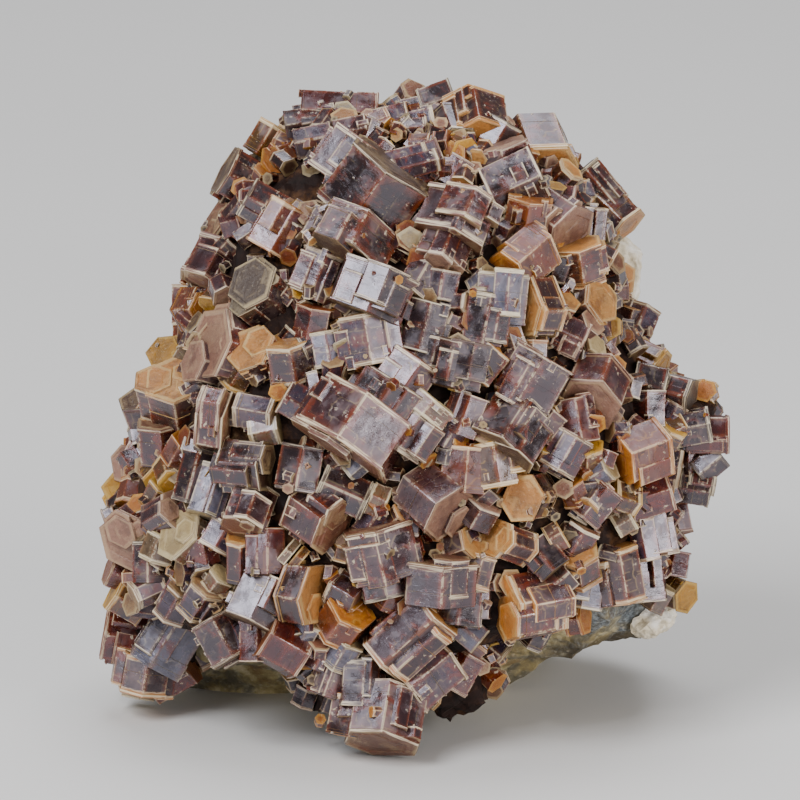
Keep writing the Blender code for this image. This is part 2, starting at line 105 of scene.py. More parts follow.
CAP_ASIDE, CAP_STEP = 0.7, 0.02
EDGE_BEVEL = 0.07
WORN_ANGLE, WORN_HEIGHT, WORN_LENGTH = 0.6, 0.2, 0.25
LIGHT_SPREAD = 0.16      # how much lighter or darker one crystal may be
RIM_FACTORS = (0.5, 1.6)
RIM_SHARE = 0.18         # the most of its length that a rim takes
ONE_RIM_SHARE = 0.35     # how many crystals show a rim at one end only

# Crystals that grow parallel to a main one: large partners, and small blocks on its sides.
LARGE_FROM, LARGE_PARTNERS = 5, (2, 3, 3, 4)
MIDDLE_FROM, MIDDLE_PARTNERS = 3.6, (1, 1, 2)
PARTNER_WIDTHS, PARTNER_LENGTHS = (0.38, 0.68), (0.62, 0.95)
PARTNER_ASIDE, PARTNER_SHIFTS = (0.22, 0.36), (-0.22, 0.22)
BLOCKS_PER_MM = (0.3, 0.8)
BLOCK_WIDTHS, BLOCK_LENGTHS = (0.14, 0.30), (0.15, 0.4)
BLOCK_ASIDE, BLOCK_SHIFTS = (0.33, 0.43), (0.12, 0.42)

# Finishes of the crystals by letter: prism face, end face, rim, rim width in millimetres.
TONES = {
    "A": ("#331a1c", "#b06a24", "#c9a96c", 0.60),
    "D": ("#1c0b08", "#4c3221", "#b39a6e", 0.28),
    "P": ("#2f1414", "#704531", "#c0a87c", 0.45),
    "L": ("#362936", "#7f5c3a", "#b8a176", 0.45),
    # S paints a sheen: its gray-lavender body stands for faces that mirror the lights, a painted
    # reflection.
    "S": ("#5a5a69", "#8d7852", "#c4b592", 0.38),
    "R": ("#43120a", "#6e3010", "#9c6c30", 0.26),
    "H": ("#5a290c", "#975613", "#bf8d38", 0.42),
    "T": ("#321a13", "#ad7336", "#c8ab72", 0.55),
    "O": ("#4f330b", "#a8761b", "#c8a34c", 0.48),
    "E": ("#391d1f", "#85604e", "#ae906f", 0.40),
    "C": ("#66523a", "#a38d62", "#ccbb92", 0.50),
    "G": ("#271b1c", "#45382f", "#b29e76", 0.36),
}

# Crystals: across, rise, width over the corners, length, lean, nod, finish.
CROWN = (
    (-6.0, 64.3, 5.0, 7.5, -3, 0, "R"), (-8.8, 63.3, 4.0, 5.0, 10, 0, "G"),
    (-8.5, 61.5, 3.8, 3.8, 12, 0, "L"), (-4.8, 62.5, 3.3, 3.2, 12, 0, "E"),
    (-1.0, 63.2, 4.6, 4.0, 12, 0, "L"), (2.0, 63.2, 4.0, 3.0, 12, 0, "L"),
    (1.5, 65.0, 3.5, 3.5, 12, 0, "G"), (3.8, 65.6, 4.2, 3.4, 20, 0, "G"),
    (7.5, 63.2, 6.5, 5.0, -80, 45, "T"), (5.2, 62.8, 4.0, 4.0, -70, 45, "G"),
    (6.0, 60.8, 3.5, 3.0, -45, 60, "O"), (9.5, 62.0, 4.0, 3.5, 60, 0, "G"),
    (13.7, 60.4, 7.0, 5.5, -70, 45, "T"), (1.5, 59.2, 4.5, 5.0, 15, -10, "L"),
    (5.5, 58.5, 3.0, 3.0, 60, 0, "E"), (10.0, 60.2, 6.0, 2.2, 105, 10, "E"),
)
LEFT_SHOULDER = (
    (-13.2, 61.8, 3.8, 3.4, 60, 0, "O"), (-11.5, 60.0, 3.5, 3.0, 200, 40, "H"),
    (-15.0, 57.5, 6.0, 5.5, 150, 10, "D"), (-16.5, 53.0, 5.0, 4.5, 155, 20, "P"),
    (-13.0, 54.8, 4.5, 5.0, 150, 0, "G"), (-11.7, 52.8, 5.5, 5.0, 60, 0, "H"),
    (-18.0, 49.2, 6.5, 4.5, 63, -15, "P"), (-20.0, 44.8, 4.5, 4.0, 0, 60, "H"),
    (-21.0, 45.5, 3.5, 4.0, 90, 0, "P"), (-13.5, 46.5, 5.5, 5.0, 140, 50, "G"),
)
UPPER_HEART = (
    (-2.5, 56.5, 10.0, 6.5, 54, 12, "D"), (-5.0, 59.5, 7.0, 5.0, 54, 0, "P"),
    (-4.8, 51.7, 9.0, 4.0, 62, -20, "D"), (-8.2, 48.5, 4.5, 4.5, 68, 0, "P"),
    (-2.8, 46.7, 9.0, 4.8, 68, -5, "D"), (5.5, 53.5, 8.5, 4.5, 68, -20, "P"),
    (4.2, 50.8, 5.5, 4.0, 68, -30, "E"), (1.7, 47.7, 3.5, 3.5, 60, -20, "P"),
    (4.2, 47.3, 3.5, 3.0, 80, 0, "L"), (1.7, 50.2, 2.5, 2.2, 60, 20, "T"),
    (8.0, 47.8, 2.5, 2.4, 40, 30, "S"),
)
RIGHT_SHOULDER = (
    (11.2, 57.5, 6.5, 5.5, 25, 0, "D"), (12.5, 53.5, 5.0, 5.0, 80, 15, "H"),
    (15.2, 53.8, 6.0, 5.0, -35, 35, "E"), (12.2, 49.8, 5.5, 5.0, 221, 30, "H"),
    (13.3, 45.2, 6.5, 3.0, 180, 35, "T"), (18.5, 52.8, 4.0, 4.5, 85, 0, "D"),
    (17.2, 57.3, 4.5, 4.5, 130, 0, "L"), (19.5, 56.8, 4.5, 5.0, 130, 0, "G"),
    (21.2, 54.5, 5.0, 4.0, -45, 15, "T"), (17.7, 49.5, 5.0, 4.0, 100, 20, "T"),
    (21.2, 48.0, 3.8, 3.0, -30, 60, "T"), (18.5, 45.3, 4.8, 4.0, 20, 40, "T"),
    (15.6, 44.8, 3.5, 3.0, 60, 30, "T"), (23.2, 43.5, 4.6, 3.8, 68, -15, "L"),
    (16.7, 42.2, 4.5, 3.0, 155, 0, "E"), (18.6, 41.0, 2.5, 2.4, 30, 40, "C"),
    (20.3, 42.0, 2.4, 2.4, 80, 20, "R"),
)
LEFT_SIDE = (
    (-17.4, 41.0, 7.5, 3.5, 165, 30, "E"), (-15.7, 38.5, 3.0, 3.0, 60, 20, "O"),
    (-14.0, 40.2, 5.0, 3.5, 135, 50, "T"), (-10.8, 40.0, 5.0, 4.0, 100, 20, "T"),
    (-8.5, 43.5, 4.0, 3.5, 80, 10, "R"), (-7.2, 41.0, 3.5, 3.5, 100, 0, "S"),
    (-5.0, 40.8, 3.0, 2.6, 60, 20, "E"), (-3.0, 42.0, 6.0, 5.0, 100, 0, "L"),
    (-23.2, 40.0, 4.0, 3.0, 120, 50, "O"), (-21.0, 40.2, 3.0, 3.0, 60, 20, "C"),
    (-21.8, 36.0, 6.5, 5.5, 100, 40, "T"), (-25.0, 34.2, 5.0, 5.0, 110, 30, "D"),
    (-23.5, 32.0, 5.0, 4.0, 95, 20, "P"), (-21.8, 31.0, 3.0, 2.8, 60, 30, "H"),
    (-26.4, 29.4, 4.2, 3.5, 170, 55, "E"), (-24.2, 29.0, 3.2, 3.0, -70, 50, "O"),
    (-22.6, 28.6, 3.5, 3.0, -70, 50, "O"), (-26.8, 26.5, 5.0, 3.5, 120, 45, "O"),
    (-23.8, 26.7, 3.0, 2.6, 60, 30, "O"), (-28.7, 23.9, 3.5, 1.2, 20, 0, "L"),
    (-25.8, 22.5, 6.5, 4.0, 215, 55, "E"), (-23.0, 24.7, 4.5, 4.0, 30, 50, "E"),
    (-17.9, 33.8, 7.2, 2.8, 170, -15, "P"), (-14.0, 34.7, 4.0, 4.0, -10, 20, "L"),
    (-13.2, 33.0, 3.5, 3.0, 10, 10, "C"), (-15.0, 29.7, 5.5, 4.5, -5, 25, "D"),
    (-20.0, 28.5, 4.0, 5.5, 75, 0, "G"), (-18.6, 27.0, 4.0, 5.0, 72, -10, "S"),
    (-14.8, 25.0, 5.5, 4.5, 71, -25, "P"),
)
CENTRE = (
    (-4.3, 33.3, 11.5, 5.5, 56, -8, "P"), (0.8, 33.0, 5.5, 4.5, 56, 0, "P"),
    (-2.0, 36.2, 7.0, 4.5, 56, 0, "D"), (0.5, 38.2, 6.0, 4.5, 56, 0, "P"),
    (2.5, 35.5, 6.0, 2.0, 50, 0, "C"), (5.0, 33.0, 3.5, 3.0, 60, 10, "L"),
    (-10.0, 35.8, 4.5, 3.0, 150, 0, "L"), (-9.7, 29.3, 5.0, 4.5, 80, 0, "G"),
    (-5.5, 27.0, 4.5, 5.0, -24, 0, "G"), (-2.2, 26.0, 3.6, 1.8, -24, 0, "C"),
    (-2.8, 24.3, 3.0, 3.0, 60, 10, "L"), (-8.2, 24.5, 6.0, 4.5, -35, 30, "P"),
    (3.2, 26.3, 6.5, 5.0, -40, 30, "E"), (6.3, 29.2, 5.0, 4.5, 85, 0, "H"),
    (9.2, 29.7, 5.0, 4.5, 100, 0, "O"), (2.5, 43.2, 5.0, 5.0, 75, 0, "G"),
    (8.3, 44.0, 5.0, 5.0, 80, 0, "G"), (10.0, 46.0, 5.5, 5.0, 85, 0, "S"),
    (5.5, 39.5, 6.5, 4.5, 78, 0, "D"), (8.2, 39.8, 4.5, 3.5, 50, 0, "T"),
    (10.5, 43.0, 3.5, 4.5, 110, 0, "D"), (13.0, 38.0, 6.5, 5.0, 60, 0, "P"),
    (12.9, 41.5, 2.2, 0.8, 0, 0, "C"), (14.0, 41.3, 2.2, 0.8, 0, 0, "O"),
    (10.5, 33.2, 7.0, 5.0, 57, -22, "D"), (6.5, 34.5, 4.5, 4.0, 70, 0, "E"),
    (7.8, 25.0, 4.0, 2.5, 60, 20, "E"),
)
RIGHT_SIDE = (
    (12.8, 26.5, 4.8, 4.0, 190, 65, "T"), (19.2, 36.8, 6.5, 4.5, -110, 50, "E"),
    (17.3, 34.0, 4.0, 4.5, 100, 0, "R"), (14.0, 34.0, 4.0, 3.0, 50, 0, "P"),
    (16.0, 31.0, 4.5, 4.0, 60, 0, "L"), (14.0, 30.5, 2.5, 2.4, 60, 30, "O"),
    (18.7, 30.5, 3.0, 2.6, 90, 40, "O"), (19.7, 28.8, 3.0, 2.5, 30, 20, "S"),
    (19.4, 25.8, 4.0, 4.0, 50, 0, "P"), (17.0, 27.0, 3.0, 2.6, 110, 30, "H"),
    (18.0, 25.2, 2.5, 2.4, 60, 0, "S"), (24.0, 39.8, 4.5, 4.5, -25, 20, "O"),
    (24.7, 37.5, 5.0, 3.2, -12, 0, "G"), (27.7, 36.5, 4.5, 2.6, -15, 15, "G"),
    (24.5, 35.2, 4.0, 3.5, 90, 0, "D"), (26.8, 34.8, 3.0, 2.0, 60, 0, "L"),
    (26.8, 32.8, 3.5, 2.5, 200, 20, "O"), (29.0, 33.0, 4.0, 3.5, 10, 0, "G"),
    (30.6, 32.5, 4.0, 4.0, 0, 0, "R"), (29.0, 29.3, 4.0, 3.5, 92, 0, "P"),
    (30.6, 29.7, 3.5, 3.0, 40, 0, "G"), (23.5, 30.8, 6.0, 5.0, 200, 30, "H"),
    (26.3, 29.5, 4.5, 3.0, -10, 0, "L"), (29.3, 27.5, 4.5, 3.0, -10, 0, "G"),
    (24.5, 26.5, 4.5, 4.5, 17, -5, "R"), (21.8, 26.3, 3.5, 3.0, -20, -30, "O"),
    (22.0, 24.0, 3.0, 2.0, 30, 0, "C"), (26.0, 24.5, 4.0, 3.0, 140, 0, "E"),
)
LOWER_LEFT = (
    (-27.6, 12.2, 5.5, 4.0, 170, 0, "R"), (-26.2, 18.8, 2.5, 2.4, 60, 30, "O"),
    (-24.7, 20.0, 4.0, 4.0, 90, 0, "G"), (-25.2, 17.0, 3.0, 3.0, 60, 20, "E"),
    (-23.7, 21.5, 4.0, 3.0, 70, 10, "C"), (-20.8, 22.3, 5.5, 3.5, 150, 40, "C"),
    (-19.5, 21.5, 4.0, 3.0, 100, 20, "R"), (-17.8, 22.7, 3.5, 3.0, 60, 0, "L"),
    (-15.6, 20.5, 3.5, 4.5, 90, 25, "T"), (-13.3, 21.2, 4.5, 4.5, 90, 0, "R"),
    (-22.0, 16.0, 4.0, 3.5, 60, 25, "L"), (-19.5, 16.5, 4.5, 3.5, 58, 30, "L"),
    (-17.8, 18.2, 3.2, 1.8, 52, 30, "C"), (-23.2, 12.0, 6.5, 5.5, 58, 5, "S"),
    (-17.4, 12.5, 5.2, 4.5, 118, -5, "D"), (-14.2, 16.3, 6.0, 5.0, 65, -10, "D"),
    (-11.5, 11.7, 5.0, 4.5, 150, 10, "R"), (-14.2, 12.3, 4.0, 4.0, 90, 0, "R"),
    (-25.5, 8.9, 5.6, 4.0, 80, 10, "T"), (-22.8, 8.4, 4.5, 4.5, 30, 15, "R"),
    (-26.0, 7.4, 4.0, 2.5, 80, 0, "C"), (-27.2, 19.0, 4.2, 3.6, 160, 10, "R"),
    (-27.0, 16.0, 4.2, 3.6, 150, 10, "O"),
)
LOWER_MIDDLE = (
    (-11.0, 21.0, 3.2, 0.9, 140, 0, "C"), (-9.9, 20.5, 2.6, 0.8, 140, 0, "O"),
    (-9.5, 17.3, 6.5, 3.0, -8, 30, "T"), (-5.3, 17.2, 3.8, 3.0, 150, -15, "P"),
    (-1.8, 21.2, 8.0, 5.2, 103, 8, "P"), (-1.5, 18.0, 5.0, 3.0, 103, 0, "G"),
    (-1.0, 16.8, 3.0, 2.5, 60, 20, "H"), (-0.3, 24.3, 3.0, 2.5, 40, 30, "T"),
    (0.9, 24.3, 3.0, 2.8, 80, 10, "E"), (3.8, 18.3, 7.5, 4.2, 87, 10, "P"),
    (7.2, 16.3, 3.5, 3.5, 88, 0, "E"), (5.8, 15.7, 5.0, 3.5, 85, 0, "G"),
    (-5.5, 14.3, 5.5, 3.5, 54, 35, "H"), (-7.8, 11.0, 3.0, 3.2, 65, 0, "E"),
    (-5.7, 11.2, 3.6, 3.0, 60, 20, "S"), (-6.8, 8.8, 4.0, 4.0, 70, 0, "P"),
    (1.0, 13.0, 6.5, 7.5, 42, 12, "A"), (2.5, 9.2, 6.5, 5.5, 40, -10, "L"),
    (6.0, 10.8, 4.5, 4.0, 50, 0, "H"), (6.8, 13.2, 3.5, 3.0, -40, 0, "S"),
    (8.5, 11.5, 3.8, 4.0, -40, 0, "L"), (5.8, 9.3, 4.5, 4.0, 60, 0, "R"),
    (-9.2, 13.2, 3.0, 2.5, 60, 20, "S"),
)
FOOT = (
    (-3.8, 8.0, 5.0, 4.5, 86, -5, "G"), (-5.0, 5.0, 4.5, 4.0, 80, 0, "T"),
    (-1.4, 4.7, 8.0, 5.5, 80, -20, "P"),
)
LOWER_RIGHT = (
    (6.0, 21.8, 3.6, 3.0, 20, 35, "T"), (10.7, 22.0, 4.5, 4.0, 160, 40, "T"),
    (14.3, 20.5, 4.2, 3.6, 130, -10, "D"), (15.3, 22.5, 3.2, 1.6, 30, 0, "O"),
    (17.5, 22.2, 3.5, 3.0, 60, 10, "P"), (17.5, 19.8, 4.5, 3.5, 100, 45, "T"),
    (18.5, 17.2, 4.0, 3.5, 80, 0, "S"), (17.5, 14.5, 3.8, 1.8, 5, 20, "H"),
    (12.7, 16.0, 7.0, 5.5, 190, 25, "A"), (13.5, 13.2, 3.5, 3.0, 60, 20, "G"),
    (15.0, 18.0, 4.5, 4.0, 40, 0, "D"), (21.2, 18.8, 5.5, 5.5, 100, 10, "T"),
    (24.0, 18.5, 5.0, 5.0, 95, 0, "D"), (25.7, 20.0, 3.0, 3.0, 60, 20, "T"),
    (27.2, 19.8, 3.5, 2.5, 80, 0, "R"), (24.8, 23.0, 4.5, 4.5, 100, 0, "L"),
    (26.5, 22.2, 3.5, 3.0, 40, 0, "D"), (27.4, 16.8, 3.5, 3.0, -20, 40, "O"),
    (25.5, 16.5, 3.0, 2.6, 60, 10, "C"), (7.5, 19.2, 4.0, 3.5, 75, 0, "T"),
)
FRONT_PARTS = {
    "crystals_crown": CROWN,
    "crystals_left_shoulder": LEFT_SHOULDER,
    "crystals_upper_heart": UPPER_HEART,
    "crystals_right_shoulder": RIGHT_SHOULDER,
    "crystals_left_side": LEFT_SIDE,
    "crystals_centre": CENTRE,
    "crystals_right_side": RIGHT_SIDE,
    "crystals_lower_left": LOWER_LEFT,
    "crystals_lower_middle": LOWER_MIDDLE,
    "crystals_foot": FOOT,
    "crystals_lower_right": LOWER_RIGHT,
}
BACK_GROUPS = {
    "back_crystals_upper": (
        (2.0, 47.0, 7.0, 5.0, 35, 10, "P"), (6.5, 45.0, 5.5, 4.5, 120, 20, "T"),
        (3.5, 42.5, 5.0, 4.0, 80, 40, "D"), (-1.8, 45.2, 5.0, 4.4, 150, 0, "L"),
    ),
    "back_crystals_middle": (
        (-9.0, 27.0, 8.0, 5.5, 70, 0, "P"), (-13.5, 24.5, 5.5, 4.5, 20, 35, "T"),
        (-7.0, 22.5, 6.0, 4.5, 130, 20, "D"), (-11.5, 31.0, 5.0, 4.5, 100, 0, "R"),
        (-4.5, 26.0, 4.6, 4.0, 45, 50, "E"),
    ),
    "back_crystals_lower": (
        (12.0, 13.0, 7.5, 5.0, 100, 15, "D"), (16.0, 16.0, 5.0, 4.5, 40, 0, "T"),
        (8.5, 15.5, 5.2, 4.2, 160, 30, "P"), (12.5, 17.8, 4.8, 4.2, 75, 45, "H"),
    ),
}

# Crystals of the top and the sides.
SIDE_ROWS, SIDE_COLUMNS = 9, 22
SIDE_FROM, SIDE_STEP = 12.0, 5.6
SIDE_HEIGHT_SPREAD, SIDE_TURN_SPREAD = 1.5, 0.2
SIDE_BACK = 15.5         # they stop this far behind the middle
SIDE_SPACING, SIDE_SUNK = 4.6, 0.08
SIDE_UNDER = -0.15       # none grow where the crust faces down more than this
SIDE_TURNED = 0.12       # or where it faces away from the viewer less than this
SIDE_SLOPE = 0.25        # they are looked for from a little above
SIDE_WIDTHS, SIDE_LENGTHS = (4.2, 7.0), (3.6, 5.6)
SIDE_TIPS = (-0.5, 0.9)  # radians out of the surface
SIDE_TONES = "DPLGTREHO"

# Small crystals in the gaps, and crumbs on the large crystals.
SMALL_HEIGHTS, SMALL_SLOPES, SMALL_SPINS = (4, 64), (-0.1, 0.35), (0, 60)
SMALL_POWER = 1.6        # more than 1 makes more of them narrow than wide
SMALL_LIFTS, SMALL_LENGTHS = (0.1, 0.9), (0.6, 1.2)
SMALL_BACK, SMALL_UNDER = 14.5, -0.5
SMALL_TONES = "DDDPPPLGGRRHHTTOES"
CRUMB_TURNS = (math.pi * 0.95, math.tau * 1.02)  # only round the front half
CRUMB_HEIGHTS, CRUMB_SLOPES, CRUMB_SPINS = (3, 64), (-0.1, 0.5), (0, 60)
CRUMB_WIDTHS, CRUMB_LENGTHS, CRUMB_SUNK = (0.35, 1.3), (0.5, 1.1), 0.1
CRUMB_TONES = "DDPPGRHTE"

# Roughness of the rock, the bed and the calcite: how fine, per millimetre, and how much.
MERGE = 0.00002          # corners nearer than this are one, in metres
UNDERSIDE = 0.00005      # corners lower than this stay on the flat underside
ROCK_CUTS = ((0.0030, 2), (0.0016, 1), (0.0009, 1))
LUMPS_GRAIN, LUMPS_TERRAIN, LUMPS_LEVEL, LUMPS_SHARE = 0.22, (1.0, 2.1, 5, 0.4), 0.4, 0.45
RIDGES_GRAIN, RIDGES_LEVEL, RIDGES_SHARE = 0.35, 0.5, 0.9
GRIT_GRAIN, GRIT_SHARE, ROCK_SUNK = 1.6, 0.35, 0.35
BED_ROUNDS, BED_SUNK = 3, 0.2
BED_LUMPS_GRAIN, BED_LUMPS_SHARE, BED_GRIT_GRAIN, BED_GRIT_SHARE = 0.5, 0.7, 1.7, 0.35
CALCITE_ROUNDS, CALCITE_FACETS_GRAIN, CALCITE_FACETS_LEVEL = 3, 0.9, 0.45
CALCITE_FACETS_SHARE, CALCITE_GRIT_GRAIN, CALCITE_GRIT_SHARE = 0.55, 3, 0.12

FAR = 60.0               # well outside the specimen, in millimetres
TURN_REACH, TURN_GRAIN = 20.0, 0.4
END_ON = 0.2             # below this a crystal counts as seen end-on
NOISE_SEED = 3           # noise vectors differ from run to run without it
FRONT_SEED, SIDE_SEED, SIDE_LOOKS_SEED, BACK_SEED, SMALL_SEED, CRUMB_SEED = 100, 8, 31, 77, 5, 9

# Soft square lights: name, place, size in metres, power in watts, tint.
LIGHTS = (
    ("key", (-0.38, -0.42, 0.55), 0.38, 5.2, "key_light"),
    ("fill", (0.60, -0.50, 0.28), 0.32, 3.0, "fill_light"),
    ("low", (-0.60, -0.62, 0.12), 0.20, 0.9, "key_light"),
    ("low_right", (0.45, -0.70, 0.08), 0.20, 1.0, "fill_light"),
    ("front", (0.12, -0.90, 0.42), 0.40, 0.7, "key_light"),
    ("top", (0.05, 0.25, 0.70), 0.50, 3.3, "key_light"),
    ("glint_left", (-0.28, -0.75, 0.70), 0.07, 1.1, "key_light"),
    ("glint_right", (0.50, -0.75, 0.35), 0.07, 1.0, "fill_light"),
)
LIGHT_AIM = Vector((0, 0, 0.032))
ROOM_STRENGTH = 0.26
FLOOR_HALF, FLOOR_CELLS = 3.0, 8
VIEW_RISE, VIEW_DEPTH = 36.0, 20.0  # where on the front plane the camera aims
SENSOR, CLIP_END = 36.0, 20.0

made = {}


def linear(code):
    """A linear colour from its six hex digits."""
    parts = [int(code[place:place + 2], 16) / 255 for place in (1, 3, 5)]
    return tuple(part / 12.92 if part <= 0.04045 else ((part + 0.055) / 1.055) ** 2.4
                 for part in parts)


def on_plane(across, rise, depth):
    """A point of the tilted front plane, in millimetres of the object's own frame."""
    return (RIGHTWARD * (across - ORIGIN_ACROSS) + UPWARD * rise + INWARD * depth
            - Vector((0, ORIGIN_DEPTH, 0)))


def lofted(rings, points, squareness, roughness, grain):
    """A closed body through the rings, roughened."""
    bm = bmesh.new()
    steps = len(rings) - 1
    power = 2 / squareness
    bmesh.ops.create_cone(bm, cap_ends=True, segments=points, radius1=1, radius2=1, depth=steps)
    upright = [edge for edge in bm.edges if abs(edge.verts[0].co.z - edge.verts[1].co.z) > 0.5]
    bmesh.ops.subdivide_edges(bm, edges=upright, cuts=steps - 1)
    for vert in bm.verts:
        index = round(vert.co.z + steps / 2)
        height, left, right, front, back = rings[index]
        turn = math.atan2(vert.co.y, vert.co.x)
        side = math.copysign(abs(math.cos(turn)) ** power, math.cos(turn))
        away = math.copysign(abs(math.sin(turn)) ** power, math.sin(turn))
        across = (left + right) / 2 + side * (right - left) / 2
        depth = (front + back) / 2 + away * (back - front) / 2
        place = Vector((across, depth, height))
        shake = noise.noise_vector(place * grain) * roughness
        if index == 0:
            shake.z = 0
        vert.co = place + shake - Vector((ORIGIN_ACROSS, ORIGIN_DEPTH, 0))
    bmesh.ops.triangulate(bm, faces=bm.faces)
    bmesh.ops.recalc_face_normals(bm, faces=bm.faces)
    return bm


def crust_body():
    """The crust and its lumps, with no crystals."""
    bm = lofted(CRUST_RINGS, CRUST_POINTS, CRUST_SQUARENESS, CRUST_ROUGHNESS, CRUST_GRAIN)
    for across, depth, height, radius in CRUST_LUMPS:
        middle = Matrix.Translation((across - ORIGIN_ACROSS, depth - ORIGIN_DEPTH, height))
        bmesh.ops.create_icosphere(bm, subdivisions=1, radius=radius, matrix=middle)
    return bm


def axis_frame(middle, length_way, facing, turn):
    """A frame at middle with Z along length_way and a flat side towards facing."""
    length_way = length_way.normalized()
    flat = facing - length_way * facing.dot(length_way)
    if flat.length < END_ON:
        flat = RIGHTWARD - length_way * length_way.x
    flat.normalize()
    side = length_way.cross(flat)
    turned = Matrix((flat, side, length_way)).transposed().to_4x4()
    spun = Matrix.Rotation(math.radians(CORNER_TURN + turn), 4, "Z")
    return Matrix.Translation(middle) @ turned @ spun


def front_frame(middle, lean, nod, turn):
    """The placing of a front crystal, from its lean and nod in degrees."""
    lean, nod = math.radians(lean), math.radians(nod)
    flat_way = RIGHTWARD * math.cos(lean) + UPWARD * math.sin(lean)
    return axis_frame(middle, flat_way * math.cos(nod) - INWARD * math.sin(nod), -INWARD, turn)


def turn_of(across, rise):
    """A crystal's own small turn about its length."""
    return TURN_REACH * noise.noise(Vector((across * TURN_GRAIN, rise * TURN_GRAIN, 0)))


def corners(bm, width, chance):
    """A flat six-sided face whose sides stay 60 degrees apart but differ in reach."""
    circle = bmesh.ops.create_circle(bm, cap_ends=True, segments=6, radius=width / 2)
    reach = [width * SIDE_REACH * chance.uniform(1 - SIDE_SPREAD, 1 + SIDE_SPREAD)
             for _ in range(6)]
    for vert in circle["verts"]:
        turn = math.atan2(vert.co.y, vert.co.x)
        index = round((turn - math.pi / 6) / (math.pi / 3)) % 6
        low, high = turn - math.pi / 6, turn + math.pi / 6
        first, second = reach[index], reach[(index + 1) % 6]
        vert.co.x = (first * math.sin(high) - second * math.sin(low)) / math.sin(math.pi / 3)
        vert.co.y = (second * math.cos(low) - first * math.cos(high)) / math.sin(math.pi / 3)
    return bm.faces[:][0]


def grow(bm, face, climb, share):
    """Extrudes the face upwards and scales it about the length."""
    moved = bmesh.ops.extrude_face_region(bm, geom=[face])
    verts = [item for item in moved["geom"] if isinstance(item, bmesh.types.BMVert)]
    bmesh.ops.scale(bm, verts=verts, vec=(share, share, 1))
    bmesh.ops.translate(bm, verts=verts, vec=(0, 0, climb))
    return next(item for item in moved["geom"] if isinstance(item, bmesh.types.BMFace))


def layers_of(width, length, chance, detail):
    """A crystal's layers from its foot up: how thick, and how wide beside the body."""
    if detail < LARGE:
        rim = min(PLAIN_RIM_SHARE * width, PLAIN_RIM_MOST)
        return [(rim, PLAIN_RIM_WIDE), (length - 2 * rim, 1.0), (rim, PLAIN_RIM_WIDE)]
    thin = min(1.0, width / THIN_BELOW)
    ends = [[(thin * chance.uniform(*LAYER_THICK), 1 + chance.uniform(*LAYER_WIDER))
             for _ in range(chance.choice(LAYER_COUNTS))] for _ in range(2)]
    rest = length - sum(thick for end in ends for thick, _ in end)
    cuts = sorted(chance.uniform(*CUT_PLACES) for _ in range(chance.choice(CUT_COUNTS)))
    body = [(rest * (high - low), 1 + chance.uniform(*CUT_WIDER))
            for low, high in zip([0] + cuts, cuts + [1])]
    return ends[0] + body + ends[1]


def prism(width, length, chance, detail):
    """A crystal along Z with its middle at the origin, layered along its length."""
    bm = bmesh.new()
    face = corners(bm, width, chance)
    bottom, level, wide = face, 0.0, 1.0
    for thick, share in layers_of(width, length, chance, detail):
        thick = max(thick, LAYER_LEAST)
        if level:
            face = grow(bm, face, LEDGE, share / wide)
            level += LEDGE
        else:
            bmesh.ops.scale(bm, verts=face.verts[:], vec=(share, share, 1))
        face = grow(bm, face, thick, 1.0)
        level, wide = level + thick, share
    caps = [(face, 1), (bottom, -1)] if detail > CRUMB else [(face, 1)]
    for cap, way in caps:
        for _ in range(chance.choice(CAP_COUNTS) if detail == LARGE else 1):
            inset = width * chance.uniform(*CAP_INSET)
            sink = chance.choice(CAP_WAYS) * chance.uniform(*CAP_SINK) * width * way
            bmesh.ops.inset_region(bm, faces=[cap], thickness=inset, use_even_offset=True)
            off = [chance.uniform(-CAP_ASIDE, CAP_ASIDE) * inset for _ in range(2)]
            bmesh.ops.translate(bm, verts=cap.verts[:], vec=(*off, 0))
            bmesh.ops.inset_region(bm, faces=[cap], thickness=CAP_STEP * width,
                                   use_even_offset=True)
            bmesh.ops.translate(bm, verts=cap.verts[:], vec=(0, 0, sink))
    bmesh.ops.translate(bm, verts=bm.verts, vec=(0, 0, -level / 2))
    bmesh.ops.recalc_face_normals(bm, faces=bm.faces)
    for item in bm.faces:
        item.material_index = 1 if abs(item.normal.z) > END_SLOPE else 0
    if detail == LARGE:
        sharp = [edge for edge in bm.edges if rounded(edge, level / 2)]
        bmesh.ops.bevel(bm, geom=sharp, offset=EDGE_BEVEL, offset_type="OFFSET", segments=1,
                        profile=0.5, affect="EDGES", material=-1, clamp_overlap=True)
    laid_out(bm)
    return bm, level


def rounded(edge, top):
    """Whether an edge is worn: the upright corners and the outer rims of both ends."""
    first, second = (vert.co for vert in edge.verts)
    upright = abs(first.z - second.z) > WORN_HEIGHT
    rim = abs(first.z + second.z) / 2 > top - LEDGE and edge.calc_length() > WORN_LENGTH
    return edge.calc_face_angle(0) > WORN_ANGLE and (upright or rim)


def laid_out(bm):
    """Stores where the points of each face are.

    On a side that is how far across from its middle, and half its width; on an end it is the
    place from the centre.
    """
    layer = bm.loops.layers.uv.new("face_place")
    for face in bm.faces:
        normal = face.normal
        if abs(normal.z) > END_SLOPE:
            for loop in face.loops:
                loop[layer].uv = loop.vert.co.xy
            continue
        across = Vector((-normal.y, normal.x, 0)).normalized()
        places = [loop.vert.co.dot(across) for loop in face.loops]
        middle, half = (max(places) + min(places)) / 2, (max(places) - min(places)) / 2
        for loop, place in zip(face.loops, places):
            loop[layer].uv = (place - middle, half)


def tinted(tone, chance):
    """The three colours of one crystal, together a little lighter or darker, and its rim."""
    body, end, rim, rim_width = TONES[tone]
    light = 1 + chance.uniform(-LIGHT_SPREAD, LIGHT_SPREAD)
    colours = [tuple(part * light for part in linear(code)) for code in (body, end, rim)]
    return colours, rim_width * chance.uniform(*RIM_FACTORS)


